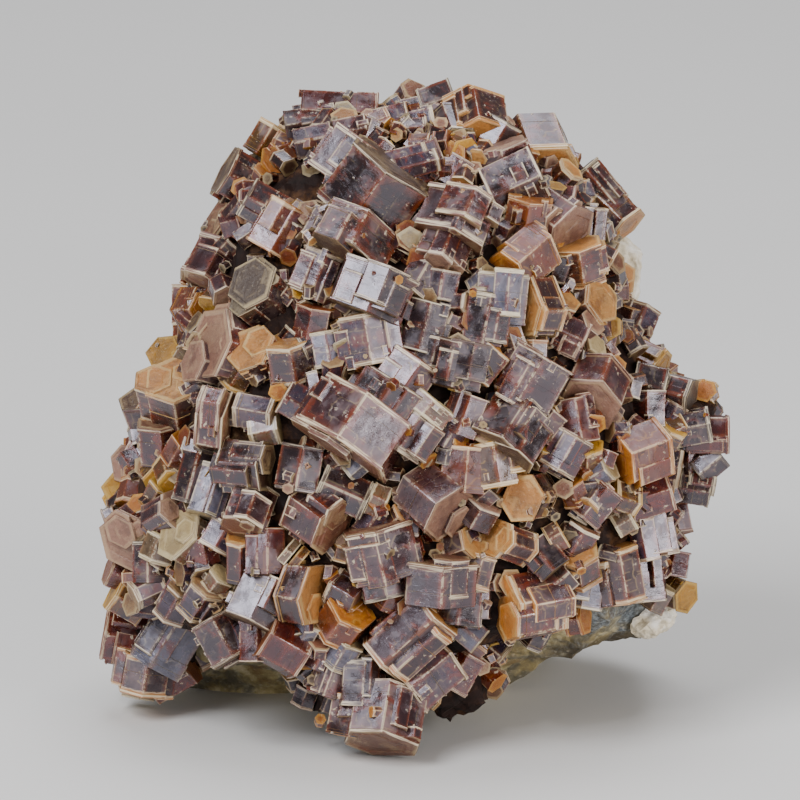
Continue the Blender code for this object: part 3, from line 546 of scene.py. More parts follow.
def store(mesh, name, kind, values):
    """Stores one value, or one colour, per point."""
    layer = mesh.attributes.new(name, kind, "POINT")
    layer.data.foreach_set("color" if kind == "FLOAT_COLOR" else "value", values)


def crystal_mesh(width, length, tone, chance, detail):
    """One dressed crystal as a mesh in millimetres, still on Z."""
    bm, level = prism(width, length, chance, detail)
    mesh = bpy.data.meshes.new("crystal")
    bm.to_mesh(mesh)
    bm.free()
    dress(mesh, width, level, tone, chance)
    return mesh


def dress(mesh, width, level, tone, chance):
    """Gives a crystal its colours and, per point, its place along the length and its rim."""
    count = len(mesh.vertices)
    places = np.empty(count * 3, dtype=np.float32)
    mesh.vertices.foreach_get("co", places)
    along = places[2::3]
    (body, end, rim), rim_width = tinted(tone, chance)
    rim_width = min(rim_width, RIM_SHARE * level)
    reach = level / 2
    if chance.random() < ONE_RIM_SHARE:
        along, reach = along + reach, level
    for name, colour in (("body_tint", body), ("end_tint", end), ("rim_tint", rim)):
        values = np.tile(np.array((*colour, 1), dtype=np.float32), count)
        store(mesh, name, "FLOAT_COLOR", values)
    store(mesh, "along", "FLOAT", along.astype(np.float32))
    store(mesh, "reach", "FLOAT", np.full(count, reach, dtype=np.float32))
    store(mesh, "rim_width", "FLOAT", np.full(count, rim_width, dtype=np.float32))
    store(mesh, "half_width", "FLOAT", np.full(count, width * SIDE_REACH, dtype=np.float32))
    store(mesh, "lot", "FLOAT", np.full(count, chance.random(), dtype=np.float32))


class Heap:
    """Gathers meshes in millimetres into one piece."""

    def __init__(self):
        self.bm = bmesh.new()

    def add(self, mesh, frame_of):
        """Puts a mesh in its place and keeps it."""
        mesh.transform(frame_of)
        self.bm.from_mesh(mesh)
        bpy.data.meshes.remove(mesh)

    def surface(self):
        """What has been gathered so far, for finding places on it."""
        return BVHTree.FromBMesh(self.bm)

    def piece(self, name, node="crystal_mass"):
        """Writes the crystals in metres, as one piece that is shown for the node."""
        bmesh.ops.scale(self.bm, verts=self.bm.verts, vec=(MM, MM, MM))
        tied(self.bm, name, [made["prism"], made["end"]], [node])


def tied(bm, name, materials, nodes):
    """Makes an object of a bmesh in metres that rides on the specimen."""
    mesh = bpy.data.meshes.new(name)
    bm.to_mesh(mesh)
    bm.free()
    obj = bpy.data.objects.new(name, mesh)
    bpy.context.scene.collection.objects.link(obj)
    for material in materials:
        mesh.materials.append(material)
    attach(obj, BODY)
    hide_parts(*nodes)


def node_copy(name):
    """A copy of one of the specimen's solids, its doubled corners merged."""
    bm = bmesh.new()
    bm.from_mesh(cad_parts[name].data)
    bmesh.ops.remove_doubles(bm, verts=bm.verts, dist=MERGE)
    return bm


def split(bm, rounds):
    """Cuts every edge in two, as many times over as rounds."""
    for _ in range(rounds):
        bmesh.ops.subdivide_edges(bm, edges=bm.edges, cuts=1, use_grid_fill=True)
        bmesh.ops.triangulate(bm, faces=bm.faces)
    bm.normal_update()


def shift(bm, moves):
    """Moves every corner by its own step."""
    for vert, move in zip(bm.verts, moves):
        vert.co += move


def beside(way, aside, along):
    """The step from a crystal to one that grows parallel to it."""
    return Matrix.Translation((math.cos(way) * aside, math.sin(way) * aside, along))


def any_way(chance):
    """A direction, all being equally likely."""
    return Vector((chance.gauss(0, 1), chance.gauss(0, 1), chance.gauss(0, 1))).normalized()


def add_stack(heap, placing, width, length, tone, chance):
    """A main crystal and the smaller ones that grow parallel to it out of its sides and ends."""
    heap.add(crystal_mesh(width, length, tone, chance, LARGE), placing)
    partners = 0
    if width > LARGE_FROM:
        partners = chance.choice(LARGE_PARTNERS)
    elif width > MIDDLE_FROM:
        partners = chance.choice(MIDDLE_PARTNERS)
    for _ in range(partners):
        size = width * chance.uniform(*PARTNER_WIDTHS)
        way, aside = chance.uniform(0, math.tau), width * chance.uniform(*PARTNER_ASIDE)
        along = length * chance.uniform(*PARTNER_SHIFTS)
        tall = length * chance.uniform(*PARTNER_LENGTHS)
        grown = crystal_mesh(size, tall, tone, chance, LARGE)
        heap.add(grown, placing @ beside(way, aside, along))
    for _ in range(int(width * chance.uniform(*BLOCKS_PER_MM))):
        size = width * chance.uniform(*BLOCK_WIDTHS)
        way, aside = chance.uniform(0, math.tau), width * chance.uniform(*BLOCK_ASIDE)
        along = chance.choice((-1, 1)) * length * chance.uniform(*BLOCK_SHIFTS)
        tall = length * chance.uniform(*BLOCK_LENGTHS)
        grown = crystal_mesh(size, tall, tone, chance, SMALL)
        heap.add(grown, placing @ beside(way, aside, along))


def carried(surface, across, rise):
    """The point of a surface that a place of the front plane falls on."""
    hit = surface.ray_cast(on_plane(across, rise, -FAR), INWARD)[0]
    if hit is None:
        steps = [on_plane(across, rise, depth) for depth in range(int(FAR))]
        hit = min(steps, key=lambda place: surface.find_nearest(place)[3])
    return hit


class Value:
    """A shader socket that takes part in Python sums."""

    def __init__(self, nodes, socket):
        self.nodes = nodes
        self.socket = socket

    def sum_with(self, operation, other, swapped=False):
        first, second = (other, self) if swapped else (self, other)
        return self.nodes.add("ShaderNodeMath", {"operation": operation}, {0: first, 1: second})

    def __add__(self, other):
        return self.sum_with("ADD", other)

    def __radd__(self, other):
        return self.sum_with("ADD", other, True)

    def __sub__(self, other):
        return self.sum_with("SUBTRACT", other)

    def __rsub__(self, other):
        return self.sum_with("SUBTRACT", other, True)

    def __mul__(self, other):
        return self.sum_with("MULTIPLY", other)

    def __rmul__(self, other):
        return self.sum_with("MULTIPLY", other, True)

    def __truediv__(self, other):
        return self.sum_with("DIVIDE", other)

    def __rtruediv__(self, other):
        return self.sum_with("DIVIDE", other, True)

    def __abs__(self):
        return self.nodes.add("ShaderNodeMath", {"operation": "ABSOLUTE"}, {0: self})


class Recipe:
    """One material's nodes."""

    def __init__(self, name):
        self.material = bpy.data.materials.new(name)
        self.material.use_nodes = True
        self.tree = self.material.node_tree
        self.tree.nodes.clear()
        self.output = self.tree.nodes.new("ShaderNodeOutputMaterial")

    def add(self, kind, settings=None, values=None, out=0):
        """Adds a node: its settings first, then the values or links of its sockets."""
        node = self.tree.nodes.new(kind)
        for name, setting in (settings or {}).items():
            if name == "stops":
                ramp = node.color_ramp
                while len(ramp.elements) < len(setting):
                    ramp.elements.new(0.5)
                for element, (place, colour) in zip(ramp.elements, setting):
                    element.position = place
                    element.color = colour if len(colour) == 4 else (*colour, 1)
            else:
                setattr(node, name, setting)
        for key, value in (values or {}).items():
            if isinstance(value, Value):
                self.tree.links.new(value.socket, node.inputs[key])
            else:
                node.inputs[key].default_value = value
        return Value(self, node.outputs[out])

    def place(self):
        """Object coordinates, in metres."""
        return self.add("ShaderNodeTexCoord", out="Object")

    def noise(self, scale, detail=4.0, roughness=0.55, distortion=0.0, place=None):
        values = {"Vector": place or self.place(), "Scale": scale, "Detail": detail,
                  "Roughness": roughness, "Distortion": distortion}
        return self.add("ShaderNodeTexNoise", {}, values)

    def cells(self, scale, place=None, out="Distance"):
        values = {"Vector": place or self.place(), "Scale": scale}
        return self.add("ShaderNodeTexVoronoi", {}, values, out)

    def attribute(self, name, out="Fac"):
        return self.add("ShaderNodeAttribute", {"attribute_name": name}, {}, out)

    def face_place(self):
        """Millimetres across a face from its middle, and half the face's width."""
        place = self.add("ShaderNodeUVMap", {"uv_map": "face_place"})
        parts = self.add("ShaderNodeSeparateXYZ", {}, {"Vector": place})
        return parts, Value(self, parts.socket.node.outputs["Y"])

    def point(self, *parts):
        """A place from three values."""
        return self.add("ShaderNodeCombineXYZ", {}, dict(enumerate(parts)))

    def warped(self, reach):
        """Object coordinates pushed about by a noise, by up to about reach metres."""
        waves = {"Vector": self.place(), "Scale": 700, "Detail": 2.0}
        push = self.add("ShaderNodeTexNoise", {}, waves, "Color")
        return self.add("ShaderNodeVectorMath", {"operation": "MULTIPLY_ADD"},
                        {0: push, 1: (reach, reach, reach), 2: self.place()})

    def plates(self, gap, across, lot, shift):
        """A value per flat step of a prism face; the steps are blocks along the crystal."""
        spot = self.point(gap * 0.75 + lot * 50.0 + shift, across * 0.62 + lot * 80.0 + shift,
                          0.0)
        settings = {"voronoi_dimensions": "2D", "distance": "CHEBYCHEV"}
        values = {"Vector": spot, "Scale": 1.0, "Randomness": 0.85}
        return self.add("ShaderNodeTexVoronoi", settings, values, "Color")

    def lesser(self, first, second):
        return self.add("ShaderNodeMath", {"operation": "MINIMUM"}, {0: first, 1: second})

    def greater(self, first, second):
        return self.add("ShaderNodeMath", {"operation": "MAXIMUM"}, {0: first, 1: second})

    def step(self, value, low, high):
        """Rises smoothly from 0 at low to 1 at high; high may be the lower number."""
        return self.add("ShaderNodeMapRange", {"interpolation_type": "SMOOTHSTEP"},
                        {"Value": value, "From Min": low, "From Max": high})

    def mix(self, factor, first, second):
        """The first colour where the factor is 0 and the second where it is 1."""
        settings = {"data_type": "RGBA", "clamp_factor": True}
        return self.add("ShaderNodeMix", settings, {0: factor, 6: first, 7: second}, 2)

    def ramp(self, value, *stops):
        return self.add("ShaderNodeValToRGB", {"stops": stops}, {"Fac": value})

    def bump(self, height, strength, distance):
        return self.add("ShaderNodeBump", {},
                        {"Height": height, "Strength": strength, "Distance": distance})

    def finish(self, **sockets):
        """The Principled shader, from its sockets' names with spaces as underscores."""
        values = {name.replace("_", " "): value for name, value in sockets.items()}
        shader = self.add("ShaderNodeBsdfPrincipled", {}, values)
        self.tree.links.new(shader.socket, self.output.inputs["Surface"])
        return self.material


def colour(code):
    """A node colour from hex digits."""
    return (*linear(code), 1)


def prism_finish():
    """Glossy prism faces: flat steps, cream layers at the ends, a painted warm glow at the edges
    round a dark heart, painted sheen, shade and glints.
    """
    recipe = Recipe("vanadinite_prism")
    body = recipe.attribute("body_tint", "Color")
    end_tint = recipe.attribute("end_tint", "Color")
    rim_tint = recipe.attribute("rim_tint", "Color")
    gap = recipe.attribute("reach") - abs(recipe.attribute("along"))
    rim_width = recipe.attribute("rim_width")
    lot = recipe.attribute("lot")
    across, half = recipe.face_place()
    side_gap = half - abs(across)
    layers = recipe.noise(1.0, 4.0, 0.6, 0.0,
                          recipe.point(gap * 3.2, across * 0.35, lot * 60.0))
    thin = recipe.noise(1.0, 3.0, 0.6, 0.0,
                        recipe.point(gap * 7.5, across * 0.25, lot * 30.0))
    flows = recipe.noise(1.0, 5.0, 0.6, 0.6,
                         recipe.point(gap * 0.55, across * 0.45, lot * 90.0))
    clouds = recipe.noise(330, 5.0, 0.62)
    fine = recipe.noise(3600, 4.0, 0.7)
    plates = recipe.plates(gap, across, lot, 0.0)
    seams = recipe.step(abs(plates - recipe.plates(gap, across, lot, 0.10)), 0.02, 0.08)
    # Painted translucency: light seen through the thin edges is painted as a warm glow near the
    # face edges, and the thick heart is left dark.
    inward = recipe.lesser(side_gap * 1.2, gap * 0.8) * (2.6 / (half + 0.25))
    depth = recipe.step(inward + (flows - 0.5) * 1.3, -0.1, 1.0)
    glow = recipe.mix(0.62, body, colour("#8a3f18"))
    shell = recipe.mix(recipe.step(lot, 0.25, 0.9) * 0.7, glow,
                       recipe.mix(0.5, body, end_tint))
    core = recipe.mix(depth, shell, body)
    rusty = recipe.mix(recipe.step(flows, 0.50, 0.68) * 0.75, core, colour("#6e2a10"))
    # Painted sheen: lavender-gray on some steps stands for the reflection of the lights.
    painted_sheen = recipe.mix(recipe.step(clouds, 0.48, 0.72) * (0.08 + plates * 0.62), rusty,
                       colour("#77605c"))
    banded = recipe.mix(recipe.step(layers, 0.58, 0.74) * 0.25, painted_sheen,
                        recipe.mix(0.5, end_tint, rim_tint))
    shade = (recipe.step(flows, 0.52, 0.34) * 0.5
             + (1.0 - recipe.step(plates, 0.16, 0.30)) * 0.45)
    dim = recipe.mix(shade, banded, colour("#170a09"))
    seam_tint = recipe.mix(0.5, body, rim_tint)
    seamed = recipe.mix(seams * recipe.step(clouds + fine * 0.3, 0.62, 0.76) * 0.45, dim,
                        seam_tint)
    ragged = gap + (layers - 0.5) * 0.5 + (fine - 0.5) * 0.2
    rim = 1.0 - recipe.step(ragged, rim_width * 0.7, rim_width * 1.0)
    pale = recipe.mix(0.45, rim_tint, colour("#f3e8ce"))
    layered = recipe.mix(recipe.step(thin, 0.44, 0.54), end_tint, pale)
    rimmed = recipe.mix(rim * 0.92, seamed, layered)
    # Pale prism corners: partly real wear and partly painted highlights along the edges.
    wear_and_highlight = ((1.0 - recipe.step(side_gap, 0.03, 0.12))
            * recipe.step(clouds + (fine - 0.5) * 0.6, 0.47, 0.56))
    edged = recipe.mix(wear_and_highlight * 0.55, rimmed, pale)
    crust = recipe.step(recipe.noise(1300, 3.0, 0.6), 0.63, 0.69) * recipe.step(flows, 0.44, 0.6)
    crusted = recipe.mix(crust * 0.75, edged, colour("#cfc0a2"))
    # Painted glints: tiny pale dots in patches stand for light sparkling off small facets.
    glint_patches = recipe.step(recipe.noise(600, 3.0), 0.56, 0.64)
    painted_glints = (1.0 - recipe.step(recipe.cells(3300), 0.06, 0.17)) * glint_patches
    specks = recipe.mix(painted_glints * 0.7, crusted, colour("#efe4cf"))
    waves = recipe.noise(520, 2.0, 0.4)
    height = (layers * 0.4 + fine * 0.4 + rim * 0.3 + crust * 0.8 + waves * 3.6 + clouds * 0.8
              + plates * 0.9)
    return recipe.finish(
        Base_Color=specks,
        Roughness=(0.07 + plates * 0.20 + recipe.step(clouds, 0.42, 0.62) * 0.24 + rim * 0.2
                   + crust * 0.3),
        IOR=2.0,
        Specular_Tint=colour("#e8e4f2"),
        Normal=recipe.bump(height, 0.5, 0.00006),
    )


def end_finish():
    """Satin end faces, tan to peach, in rings, flaked and paler at the edge."""
    recipe = Recipe("vanadinite_end")
    tint = recipe.attribute("end_tint", "Color")
    rim_tint = recipe.attribute("rim_tint", "Color")
    body = recipe.attribute("body_tint", "Color")
    lot = recipe.attribute("lot")
    across, up = recipe.face_place()
    spread = recipe.greater(abs(across), abs(across) * 0.5 + abs(up) * SLANT)
    inside = recipe.attribute("half_width") - spread
    rings = recipe.noise(1.0, 4.0, 0.6, 0.3,
                         recipe.point(inside * 2.4, lot * 40.0, inside * 0.3))
    clouds = recipe.noise(420, 5.0, 0.65)
    fine = recipe.noise(2800, 5.0, 0.7)
    flakes = recipe.cells(620, place=recipe.warped(0.0008), out="Color")
    heart = recipe.mix(recipe.step(inside + (clouds - 0.5) * 2.4, 0.5, 2.2) * 0.32, tint, body)
    ringed = recipe.mix(recipe.step(rings + (clouds - 0.5) * 0.8, 0.52, 0.66) * 0.20, heart,
                        rim_tint)
    pale = recipe.mix(recipe.step(flakes, 0.50, 0.80) * 0.22, ringed, rim_tint)
    stain = recipe.step(recipe.noise(380, 5.0, 0.65), 0.50, 0.62)
    dark = recipe.mix(stain * 0.7, pale, recipe.mix(0.4, body, tint))
    grainy = recipe.mix(recipe.step(fine, 0.50, 0.36) * 0.45, dark,
                        recipe.mix(0.5, body, tint))
    edge = recipe.mix((1.0 - recipe.step(inside + (clouds - 0.5) * 0.6, 0.05, 0.32)) * 0.55,
                      grainy, rim_tint)
    specks = recipe.mix(recipe.step(fine, 0.58, 0.72) * 0.20, edge, colour("#e2d3b4"))
    return recipe.finish(
        Base_Color=specks,
        Roughness=0.24 + fine * 0.34,
        IOR=1.55,
        Normal=recipe.bump(fine * 1.8 + clouds * 3.2 + flakes * 1.2 + stain * 0.5, 0.7, 0.00008),
    )


def bed_finish():
    """The ground between the crystals: mostly near black as painted shade in the crevices, with
    brown and cream patches.
    """
    recipe = Recipe("crystal_bed")
    clouds = recipe.noise(300, 6.0, 0.7)
    fine = recipe.noise(2400, 4.0, 0.7)
    # Painted shade: the darkest stops stand for the shade deep between the crystals; the paler
    # stops are cream crust.
    base = recipe.ramp(clouds, (0.3, linear("#0b0504")), (0.52, linear("#26140e")),
                       (0.64, linear("#553820")), (0.78, linear("#a58e64")))
    return recipe.finish(Base_Color=base, Roughness=0.75, IOR=1.35,
                         Normal=recipe.bump(fine + clouds, 0.6, 0.0001))


def rock_finish():
    """Gray spots in a net of cream; the ledge is blue-gray over a brown underside."""
    recipe = Recipe("matrix_rock")
    parts = recipe.add("ShaderNodeSeparateXYZ", {}, {"Vector": recipe.place()})
    side, height = parts, Value(recipe, parts.socket.node.outputs["Z"])
    patches = recipe.noise(150, 4.0, 0.6)
    fine = recipe.noise(2600, 5.0, 0.7)
    grains = recipe.cells(1300)
    spots = recipe.cells(330, place=recipe.warped(0.0022))
    blotch = recipe.step(spots + (recipe.noise(240, 4.0, 0.65) - 0.5) * 2.2, 0.70, 0.26)
    cream = recipe.ramp(recipe.noise(420, 5.0, 0.7), (0.3, linear("#80704a")),
                        (0.48, linear("#ae9d6e")), (0.62, linear("#d2c59c")),
                        (0.8, linear("#e4dbc0")))
    gray = recipe.ramp(fine, (0.3, linear("#3c3c37")), (0.7, linear("#74736a")))
    mottled = recipe.mix(blotch * 0.75, cream, gray)
    ledge = recipe.step(side + (patches - 0.5) * 0.012, 0.0125, 0.0165)
    blue = recipe.mix(recipe.step(fine, 0.4, 0.65), colour("#3f4850"), colour("#88929a"))
    blued = recipe.mix(ledge * recipe.step(patches, 0.40, 0.52) * 0.85, mottled, blue)
    low_down = 1.0 - recipe.step(height + (patches - 0.5) * 0.004, 0.0068, 0.0088)
    under = ledge * low_down
    browned = recipe.mix(under * 0.8, blued, colour("#4b3d20"))
    rusty = recipe.mix(recipe.step(recipe.noise(170, 5.0, 0.7), 0.57, 0.70) * 0.65, browned,
                       colour("#6f4a22"))
    specks = recipe.mix((1.0 - recipe.step(grains, 0.05, 0.30)) * 0.30, rusty,
                        colour("#d8cdb4"))
    return recipe.finish(
        Base_Color=specks,
        Roughness=0.62 + fine * 0.3,
        IOR=1.5,
        Normal=recipe.bump(blotch * 0.6 + fine * 0.8 + grains * 0.6, 0.8, 0.0002),
    )


def calcite_finish():
    """White granular calcite."""
    recipe = Recipe("calcite")
    clouds = recipe.noise(420, 5.0, 0.6)
    grains = recipe.cells(1100)
    base = recipe.ramp(clouds, (0.32, linear("#a3957a")), (0.46, linear("#dccfb4")),
                       (0.62, linear("#f3efe6")))
    return recipe.finish(Base_Color=base, Roughness=0.42, IOR=1.6,
                         Normal=recipe.bump(grains + clouds, 0.6, 0.00015))


def floor_finish():
    """A plain pale floor."""
    recipe = Recipe("studio_floor")
    soft = recipe.noise(6, 2.0)
    base = recipe.ramp(soft, (0.3, linear("#dfdedc")), (0.7, linear("#e3e2e0")))
    return recipe.finish(Base_Color=base, Roughness=0.6)


class VanadiniteSizes(bpy.types.PropertyGroup):
    """Sizes and numbers that can be changed."""

    small_count: bpy.props.IntProperty(
        name="Small Crystals", description="How many places are tried for small crystals",
        default=1900, min=0)
    crumb_count: bpy.props.IntProperty(
        name="Crumbs", description="How many places are tried for tiny crystals on large ones",
        default=150, min=0)
    small_from: bpy.props.FloatProperty(
        name="Smallest", description="Width of the smallest of the small crystals, in mm",
        default=0.9, min=0.2)
    small_to: bpy.props.FloatProperty(
        name="Largest Small", description="Width of the largest of the small crystals, in mm",
        default=2.9, min=0.4)
    rock_relief: bpy.props.FloatProperty(
        name="Rock Relief", description="Height of the rock's lumps", default=0.0006, unit="LENGTH",
        precision=5)
    lens: bpy.props.FloatProperty(
        name="Lens", description="Focal length of the camera, in millimetres",
        default=540.0, min=50)
    distance: bpy.props.FloatProperty(
        name="Distance", description="Camera to specimen", default=1.2, unit="LENGTH")


class VanadiniteColours(bpy.types.PropertyGroup):
    """Colours that can be changed."""

    key_light: bpy.props.FloatVectorProperty(
        name="Key Light", description="Tint of the main light", subtype="COLOR", size=3,
        default=(0.96, 0.97, 1.0), min=0, max=1)
    fill_light: bpy.props.FloatVectorProperty(
        name="Fill Light", description="Tint of the fill light", subtype="COLOR", size=3,
        default=(1.0, 0.96, 0.92), min=0, max=1)
    room: bpy.props.FloatVectorProperty(
        name="Room", description="Colour of the room round the specimen", subtype="COLOR", size=3,
        default=(0.80, 0.80, 0.82), min=0, max=1)


class VANADINITE_OT_materials(bpy.types.Operator):
    """Makes the finishes of the crystals, the rock and the calcite."""

    bl_idname = "vanadinite.materials"
    bl_label = "Make Finishes"

    def execute(self, context):
        made["prism"] = prism_finish()
        made["end"] = end_finish()
        made["bed"] = bed_finish()
        made["rock"] = rock_finish()
        made["calcite"] = calcite_finish()
        made["floor"] = floor_finish()
        return {"FINISHED"}


class VANADINITE_OT_matrix(bpy.types.Operator):
    """Breaks the rock's plain faces into lumps and grains."""

    bl_idname = "vanadinite.matrix"
    bl_label = "Dress Rock"

    def execute(self, context):
        relief = context.scene.vanadinite_sizes.rock_relief
        bm = node_copy("matrix")
        for limit, cuts in ROCK_CUTS:
            long_edges = [edge for edge in bm.edges if edge.calc_length() > limit]
            bmesh.ops.subdivide_edges(bm, edges=long_edges, cuts=cuts, use_grid_fill=True)
            bmesh.ops.triangulate(bm, faces=bm.faces)
        bm.normal_update()
        moves = []
        for vert in bm.verts:
            place = vert.co / MM
            lumps = noise.hetero_terrain(place * LUMPS_GRAIN, *LUMPS_TERRAIN) - LUMPS_LEVEL
            ridges = RIDGES_LEVEL - noise.voronoi(place * RIDGES_GRAIN)[0][0]
            grit = noise.noise(place * GRIT_GRAIN)
            moves.append(vert.normal * relief * (
                LUMPS_SHARE * lumps + RIDGES_SHARE * ridges + GRIT_SHARE * grit - ROCK_SUNK))
        for vert, move in zip(bm.verts, moves):
            if vert.co.z > UNDERSIDE:
                vert.co += move
                vert.co.z = max(vert.co.z, 0.0)
        tied(bm, "rock", [made["rock"]], ["matrix"])
        return {"FINISHED"}


class VANADINITE_OT_bed(bpy.types.Operator):
    """Makes the rough ground that the crystals grow from."""

    bl_idname = "vanadinite.bed"
    bl_label = "Make Crystal Bed"

    def execute(self, context):
        crust = crust_body()
        made["crust_surface"] = BVHTree.FromBMesh(crust)
        split(crust, BED_ROUNDS)
        moves = []
        for vert in crust.verts:
            lumps = BED_LUMPS_SHARE * noise.noise(vert.co * BED_LUMPS_GRAIN)
            grit = BED_GRIT_SHARE * noise.noise(vert.co * BED_GRIT_GRAIN)
            moves.append(vert.normal * (lumps + grit - BED_SUNK))
        shift(crust, moves)
        bmesh.ops.scale(crust, verts=crust.verts, vec=(MM, MM, MM))
        tied(crust, "crystal_bed", [made["bed"]], ["crystal_mass"])
        return {"FINISHED"}


class VANADINITE_OT_front_crystals(bpy.types.Operator):
    """Grows the main crystals of the front, part by part."""

    bl_idname = "vanadinite.front_crystals"
    bl_label = "Grow Front Crystals"

    def execute(self, context):
        made["grown"] = []
        for number, (name, rows) in enumerate(FRONT_PARTS.items()):
            chance = random.Random(FRONT_SEED + number)
            heap = Heap()
            for across, rise, width, length, lean, nod, tone in rows:
                middle = carried(made["crust_surface"], across, rise)
                middle -= INWARD * (LIFT_SHARE * width)
                placing = front_frame(middle, lean, nod, turn_of(across, rise))
                add_stack(heap, placing, width, length, tone, chance)
            made["grown"].append(heap.surface())
            heap.piece(name)
        return {"FINISHED"}


class VANADINITE_OT_side_crystals(bpy.types.Operator):
    """Grows the crystals of the top and the sides."""

    bl_idname = "vanadinite.side_crystals"
    bl_label = "Grow Side Crystals"

    def execute(self, context):
        chance, looks = random.Random(SIDE_SEED), random.Random(SIDE_LOOKS_SEED)
        surface = made["crust_surface"]
        heap, placed = Heap(), []
        for row in range(SIDE_ROWS):
            for column in range(SIDE_COLUMNS):
                height = SIDE_FROM + row * SIDE_STEP
                height += chance.uniform(-SIDE_HEIGHT_SPREAD, SIDE_HEIGHT_SPREAD)
                turn = column + 0.5 * (row % 2)
                turn += chance.uniform(-SIDE_TURN_SPREAD, SIDE_TURN_SPREAD)
                turn = turn / SIDE_COLUMNS * math.tau
                outward = Vector((math.cos(turn), math.sin(turn), SIDE_SLOPE))
                start = Vector((0, 0, height)) + outward * FAR
                hit, normal, _, _ = surface.ray_cast(start, -outward)
                width, length = chance.uniform(*SIDE_WIDTHS), chance.uniform(*SIDE_LENGTHS)
                lean, tip = chance.uniform(0, math.tau), chance.uniform(*SIDE_TIPS)
                spin = chance.uniform(-TURN_REACH, TURN_REACH)
                if hit is None or hit.y > SIDE_BACK:
                    continue
                if normal.dot(INWARD) < SIDE_TURNED or normal.z < SIDE_UNDER:
                    continue
                if any((hit - other).length < SIDE_SPACING for other in placed):
                    continue
                placed.append(hit)
                along = Matrix.Rotation(lean, 3, normal) @ normal.orthogonal().normalized()
                placing = axis_frame(hit - normal * (SIDE_SUNK * width),
                                     along * math.cos(tip) + normal * math.sin(tip), normal, spin)
                add_stack(heap, placing, width, length, looks.choice(SIDE_TONES), looks)
        made["grown"].append(heap.surface())
        heap.piece("crystals_sides")
        return {"FINISHED"}


class VANADINITE_OT_back_crystals(bpy.types.Operator):
    """Grows the groups on the bare back of the rock."""

    bl_idname = "vanadinite.back_crystals"
    bl_label = "Grow Back Crystals"

    def execute(self, context):
        rock = bmesh.new()
        rock.from_mesh(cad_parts["matrix"].data)
        bmesh.ops.scale(rock, verts=rock.verts, vec=(1 / MM, 1 / MM, 1 / MM))
        surface = BVHTree.FromBMesh(rock)
        rock.free()
        chance = random.Random(BACK_SEED)
        for name, rows in BACK_GROUPS.items():
            heap = Heap()
            for across, height, width, length, lean, nod, tone in rows:
                start = Vector((across - ORIGIN_ACROSS, FAR, height))
                hit = surface.ray_cast(start, Vector((0, -1, 0)))[0]
                lean_turn, nod_turn = math.radians(lean), math.radians(nod)
                flat_way = Vector((-math.cos(lean_turn), 0, math.sin(lean_turn)))
                length_way = flat_way * math.cos(nod_turn) + Vector((0, math.sin(nod_turn), 0))
                placing = axis_frame(hit + Vector((0, LIFT_SHARE * width, 0)), length_way,
                                     Vector((0, 1, 0)), turn_of(across, height))
                add_stack(heap, placing, width, length, tone, chance)
            heap.piece(name + "_dressed", name)
        return {"FINISHED"}


class VANADINITE_OT_small_crystals(bpy.types.Operator):
    """Fills the gaps between the large crystals with small ones."""

    bl_idname = "vanadinite.small_crystals"
    bl_label = "Grow Small Crystals"

    def execute(self, context):
        sizes = context.scene.vanadinite_sizes
        chance = random.Random(SMALL_SEED)
        crust = made["crust_surface"]
        heap = Heap()
        for _ in range(sizes.small_count):
            turn, height = chance.uniform(0, math.tau), chance.uniform(*SMALL_HEIGHTS)
            outward = Vector((math.cos(turn), math.sin(turn), chance.uniform(*SMALL_SLOPES)))
            start = Vector((0, 0, height)) + outward * FAR
            hit, normal, _, _ = crust.ray_cast(start, -outward)
            share = chance.random() ** SMALL_POWER
            width = sizes.small_from + (sizes.small_to - sizes.small_from) * share
            way = any_way(chance)
            lift, spin = chance.uniform(*SMALL_LIFTS), chance.uniform(*SMALL_SPINS)
            tone, tall = chance.choice(SMALL_TONES), width * chance.uniform(*SMALL_LENGTHS)
            if hit is None or hit.y > SMALL_BACK or normal.z < SMALL_UNDER:
                continue
            placing = axis_frame(hit + normal * lift, way, normal, spin)
            heap.add(crystal_mesh(width, tall, tone, chance, SMALL), placing)
        heap.piece("crystals_small")
        return {"FINISHED"}


class VANADINITE_OT_crumbs(bpy.types.Operator):
    """Sprinkles tiny crystals over the large ones."""

    bl_idname = "vanadinite.crumbs"
    bl_label = "Sprinkle Crumbs"

    def execute(self, context):
        sizes = context.scene.vanadinite_sizes
        chance = random.Random(CRUMB_SEED)
        heap = Heap()
        for _ in range(sizes.crumb_count):
            turn, height = chance.uniform(*CRUMB_TURNS), chance.uniform(*CRUMB_HEIGHTS)
            outward = Vector((math.cos(turn), math.sin(turn), chance.uniform(*CRUMB_SLOPES)))
            start = Vector((0, 0, height)) + outward * FAR
            hits = [tree.ray_cast(start, -outward) for tree in made["grown"]]
            hits = [hit for hit in hits if hit[0] is not None]
            width = chance.uniform(*CRUMB_WIDTHS)
            way = any_way(chance)
            tone, tall = chance.choice(CRUMB_TONES), width * chance.uniform(*CRUMB_LENGTHS)
            spin = chance.uniform(*CRUMB_SPINS)
            if not hits:
                continue
            place, normal, _, _ = min(hits, key=lambda hit: hit[3])
            placing = axis_frame(place - normal * width * CRUMB_SUNK, way, normal, spin)
            heap.add(crystal_mesh(width, tall, tone, chance, CRUMB), placing)
        heap.piece("crystals_crumbs")
        return {"FINISHED"}


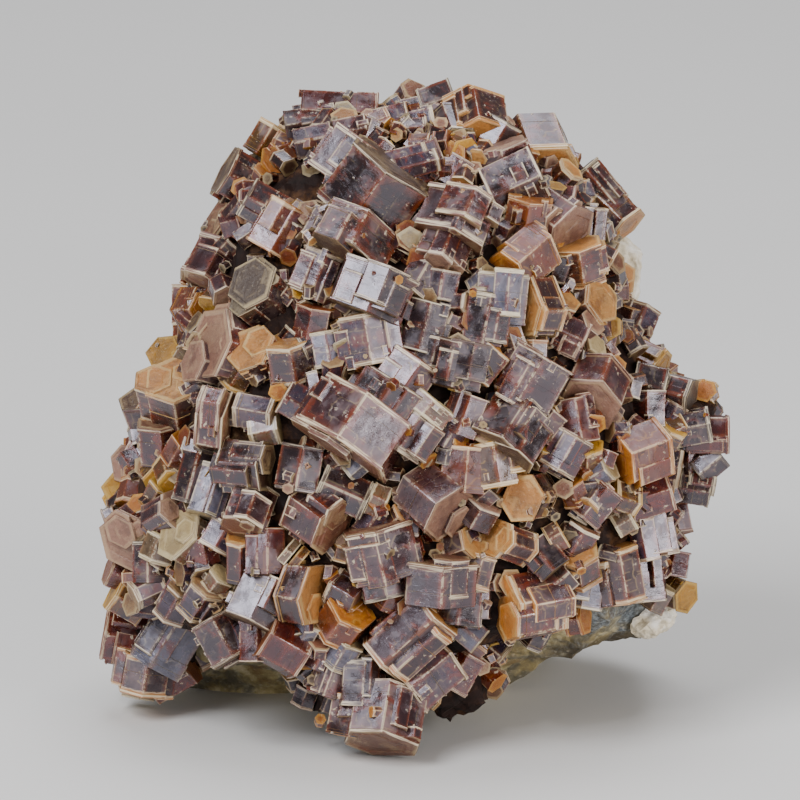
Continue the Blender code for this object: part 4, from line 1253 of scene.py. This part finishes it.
class VANADINITE_OT_calcite(bpy.types.Operator):
    """Roughens the white calcite lumps."""

    bl_idname = "vanadinite.calcite"
    bl_label = "Dress Calcite"

    def execute(self, context):
        for node in ("calcite_lump_shoulder", "calcite_lump_ledge"):
            bm = node_copy(node)
            split(bm, CALCITE_ROUNDS)
            moves = []
            for vert in bm.verts:
                place = vert.co / MM
                facets = noise.voronoi(place * CALCITE_FACETS_GRAIN)[0][0]
                facets = CALCITE_FACETS_SHARE * (CALCITE_FACETS_LEVEL - facets)
                grit = CALCITE_GRIT_SHARE * noise.noise(place * CALCITE_GRIT_GRAIN)
                moves.append(vert.normal * MM * (facets + grit))
            shift(bm, moves)
            tied(bm, node + "_dressed", [made["calcite"]], [node])
        return {"FINISHED"}


class VANADINITE_OT_stage(bpy.types.Operator):
    """Sets the floor, the soft lights and the camera."""

    bl_idname = "vanadinite.stage"
    bl_label = "Set Stage"

    def execute(self, context):
        sizes, colours = context.scene.vanadinite_sizes, context.scene.vanadinite_colours
        bm = bmesh.new()
        bmesh.ops.create_grid(bm, x_segments=FLOOR_CELLS, y_segments=FLOOR_CELLS,
                              size=FLOOR_HALF)
        mesh = bpy.data.meshes.new("floor")
        bm.to_mesh(mesh)
        bm.free()
        floor = bpy.data.objects.new("floor", mesh)
        context.scene.collection.objects.link(floor)
        mesh.materials.append(made["floor"])
        for name, place, size, power, tint in LIGHTS:
            self.light(context, name, place, size, power, getattr(colours, tint))
        world = bpy.data.worlds.new("room")
        world.use_nodes = True
        background = world.node_tree.nodes["Background"]
        background.inputs["Color"].default_value = (*colours.room, 1)
        background.inputs["Strength"].default_value = ROOM_STRENGTH
        context.scene.world = world
        camera = bpy.data.objects.new("camera", bpy.data.cameras.new("camera"))
        context.scene.collection.objects.link(camera)
        target = on_plane(0, VIEW_RISE, VIEW_DEPTH) * MM
        camera.location = target - INWARD * sizes.distance
        camera.rotation_euler = INWARD.to_track_quat("-Z", "Y").to_euler()
        camera.data.lens = sizes.lens
        camera.data.sensor_width = SENSOR
        camera.data.clip_end = CLIP_END
        context.scene.camera = camera
        return {"FINISHED"}

    def light(self, context, name, place, size, power, tint):
        """One soft square light aimed at the specimen."""
        data = bpy.data.lights.new(name, "AREA")
        data.size = size
        data.energy = power
        data.color = tint
        lamp = bpy.data.objects.new(name, data)
        lamp.location = place
        aim = LIGHT_AIM - Vector(place)
        lamp.rotation_euler = aim.to_track_quat("-Z", "Y").to_euler()
        context.scene.collection.objects.link(lamp)


STEPS = ("materials", "matrix", "bed", "front_crystals", "side_crystals", "back_crystals",
         "small_crystals", "crumbs", "calcite", "stage")


class VANADINITE_PT_panel(bpy.types.Panel):
    """Lists the steps and the values that they read."""

    bl_idname = "VANADINITE_PT_panel"
    bl_label = "Vanadinite"
    bl_space_type = "VIEW_3D"
    bl_region_type = "UI"
    bl_category = "Vanadinite"

    def draw(self, context):
        for group in (context.scene.vanadinite_sizes, context.scene.vanadinite_colours):
            for name in group.bl_rna.properties.keys():
                if name not in ("rna_type", "name"):
                    self.layout.prop(group, name)
        for step in STEPS:
            self.layout.operator("vanadinite." + step)


CLASSES = (VanadiniteSizes, VanadiniteColours, VANADINITE_OT_materials, VANADINITE_OT_matrix,
           VANADINITE_OT_bed, VANADINITE_OT_front_crystals, VANADINITE_OT_side_crystals,
           VANADINITE_OT_back_crystals, VANADINITE_OT_small_crystals, VANADINITE_OT_crumbs,
           VANADINITE_OT_calcite, VANADINITE_OT_stage, VANADINITE_PT_panel)


def register():
    for item in CLASSES:
        bpy.utils.register_class(item)
    bpy.types.Scene.vanadinite_sizes = bpy.props.PointerProperty(type=VanadiniteSizes)
    bpy.types.Scene.vanadinite_colours = bpy.props.PointerProperty(type=VanadiniteColours)


def unregister():
    del bpy.types.Scene.vanadinite_colours
    del bpy.types.Scene.vanadinite_sizes
    for item in reversed(CLASSES):
        bpy.utils.unregister_class(item)


def main():
    register()
    noise.seed_set(NOISE_SEED)
    for step in STEPS:
        getattr(bpy.ops.vanadinite, step)()


if __name__ == "__main__":
    main()
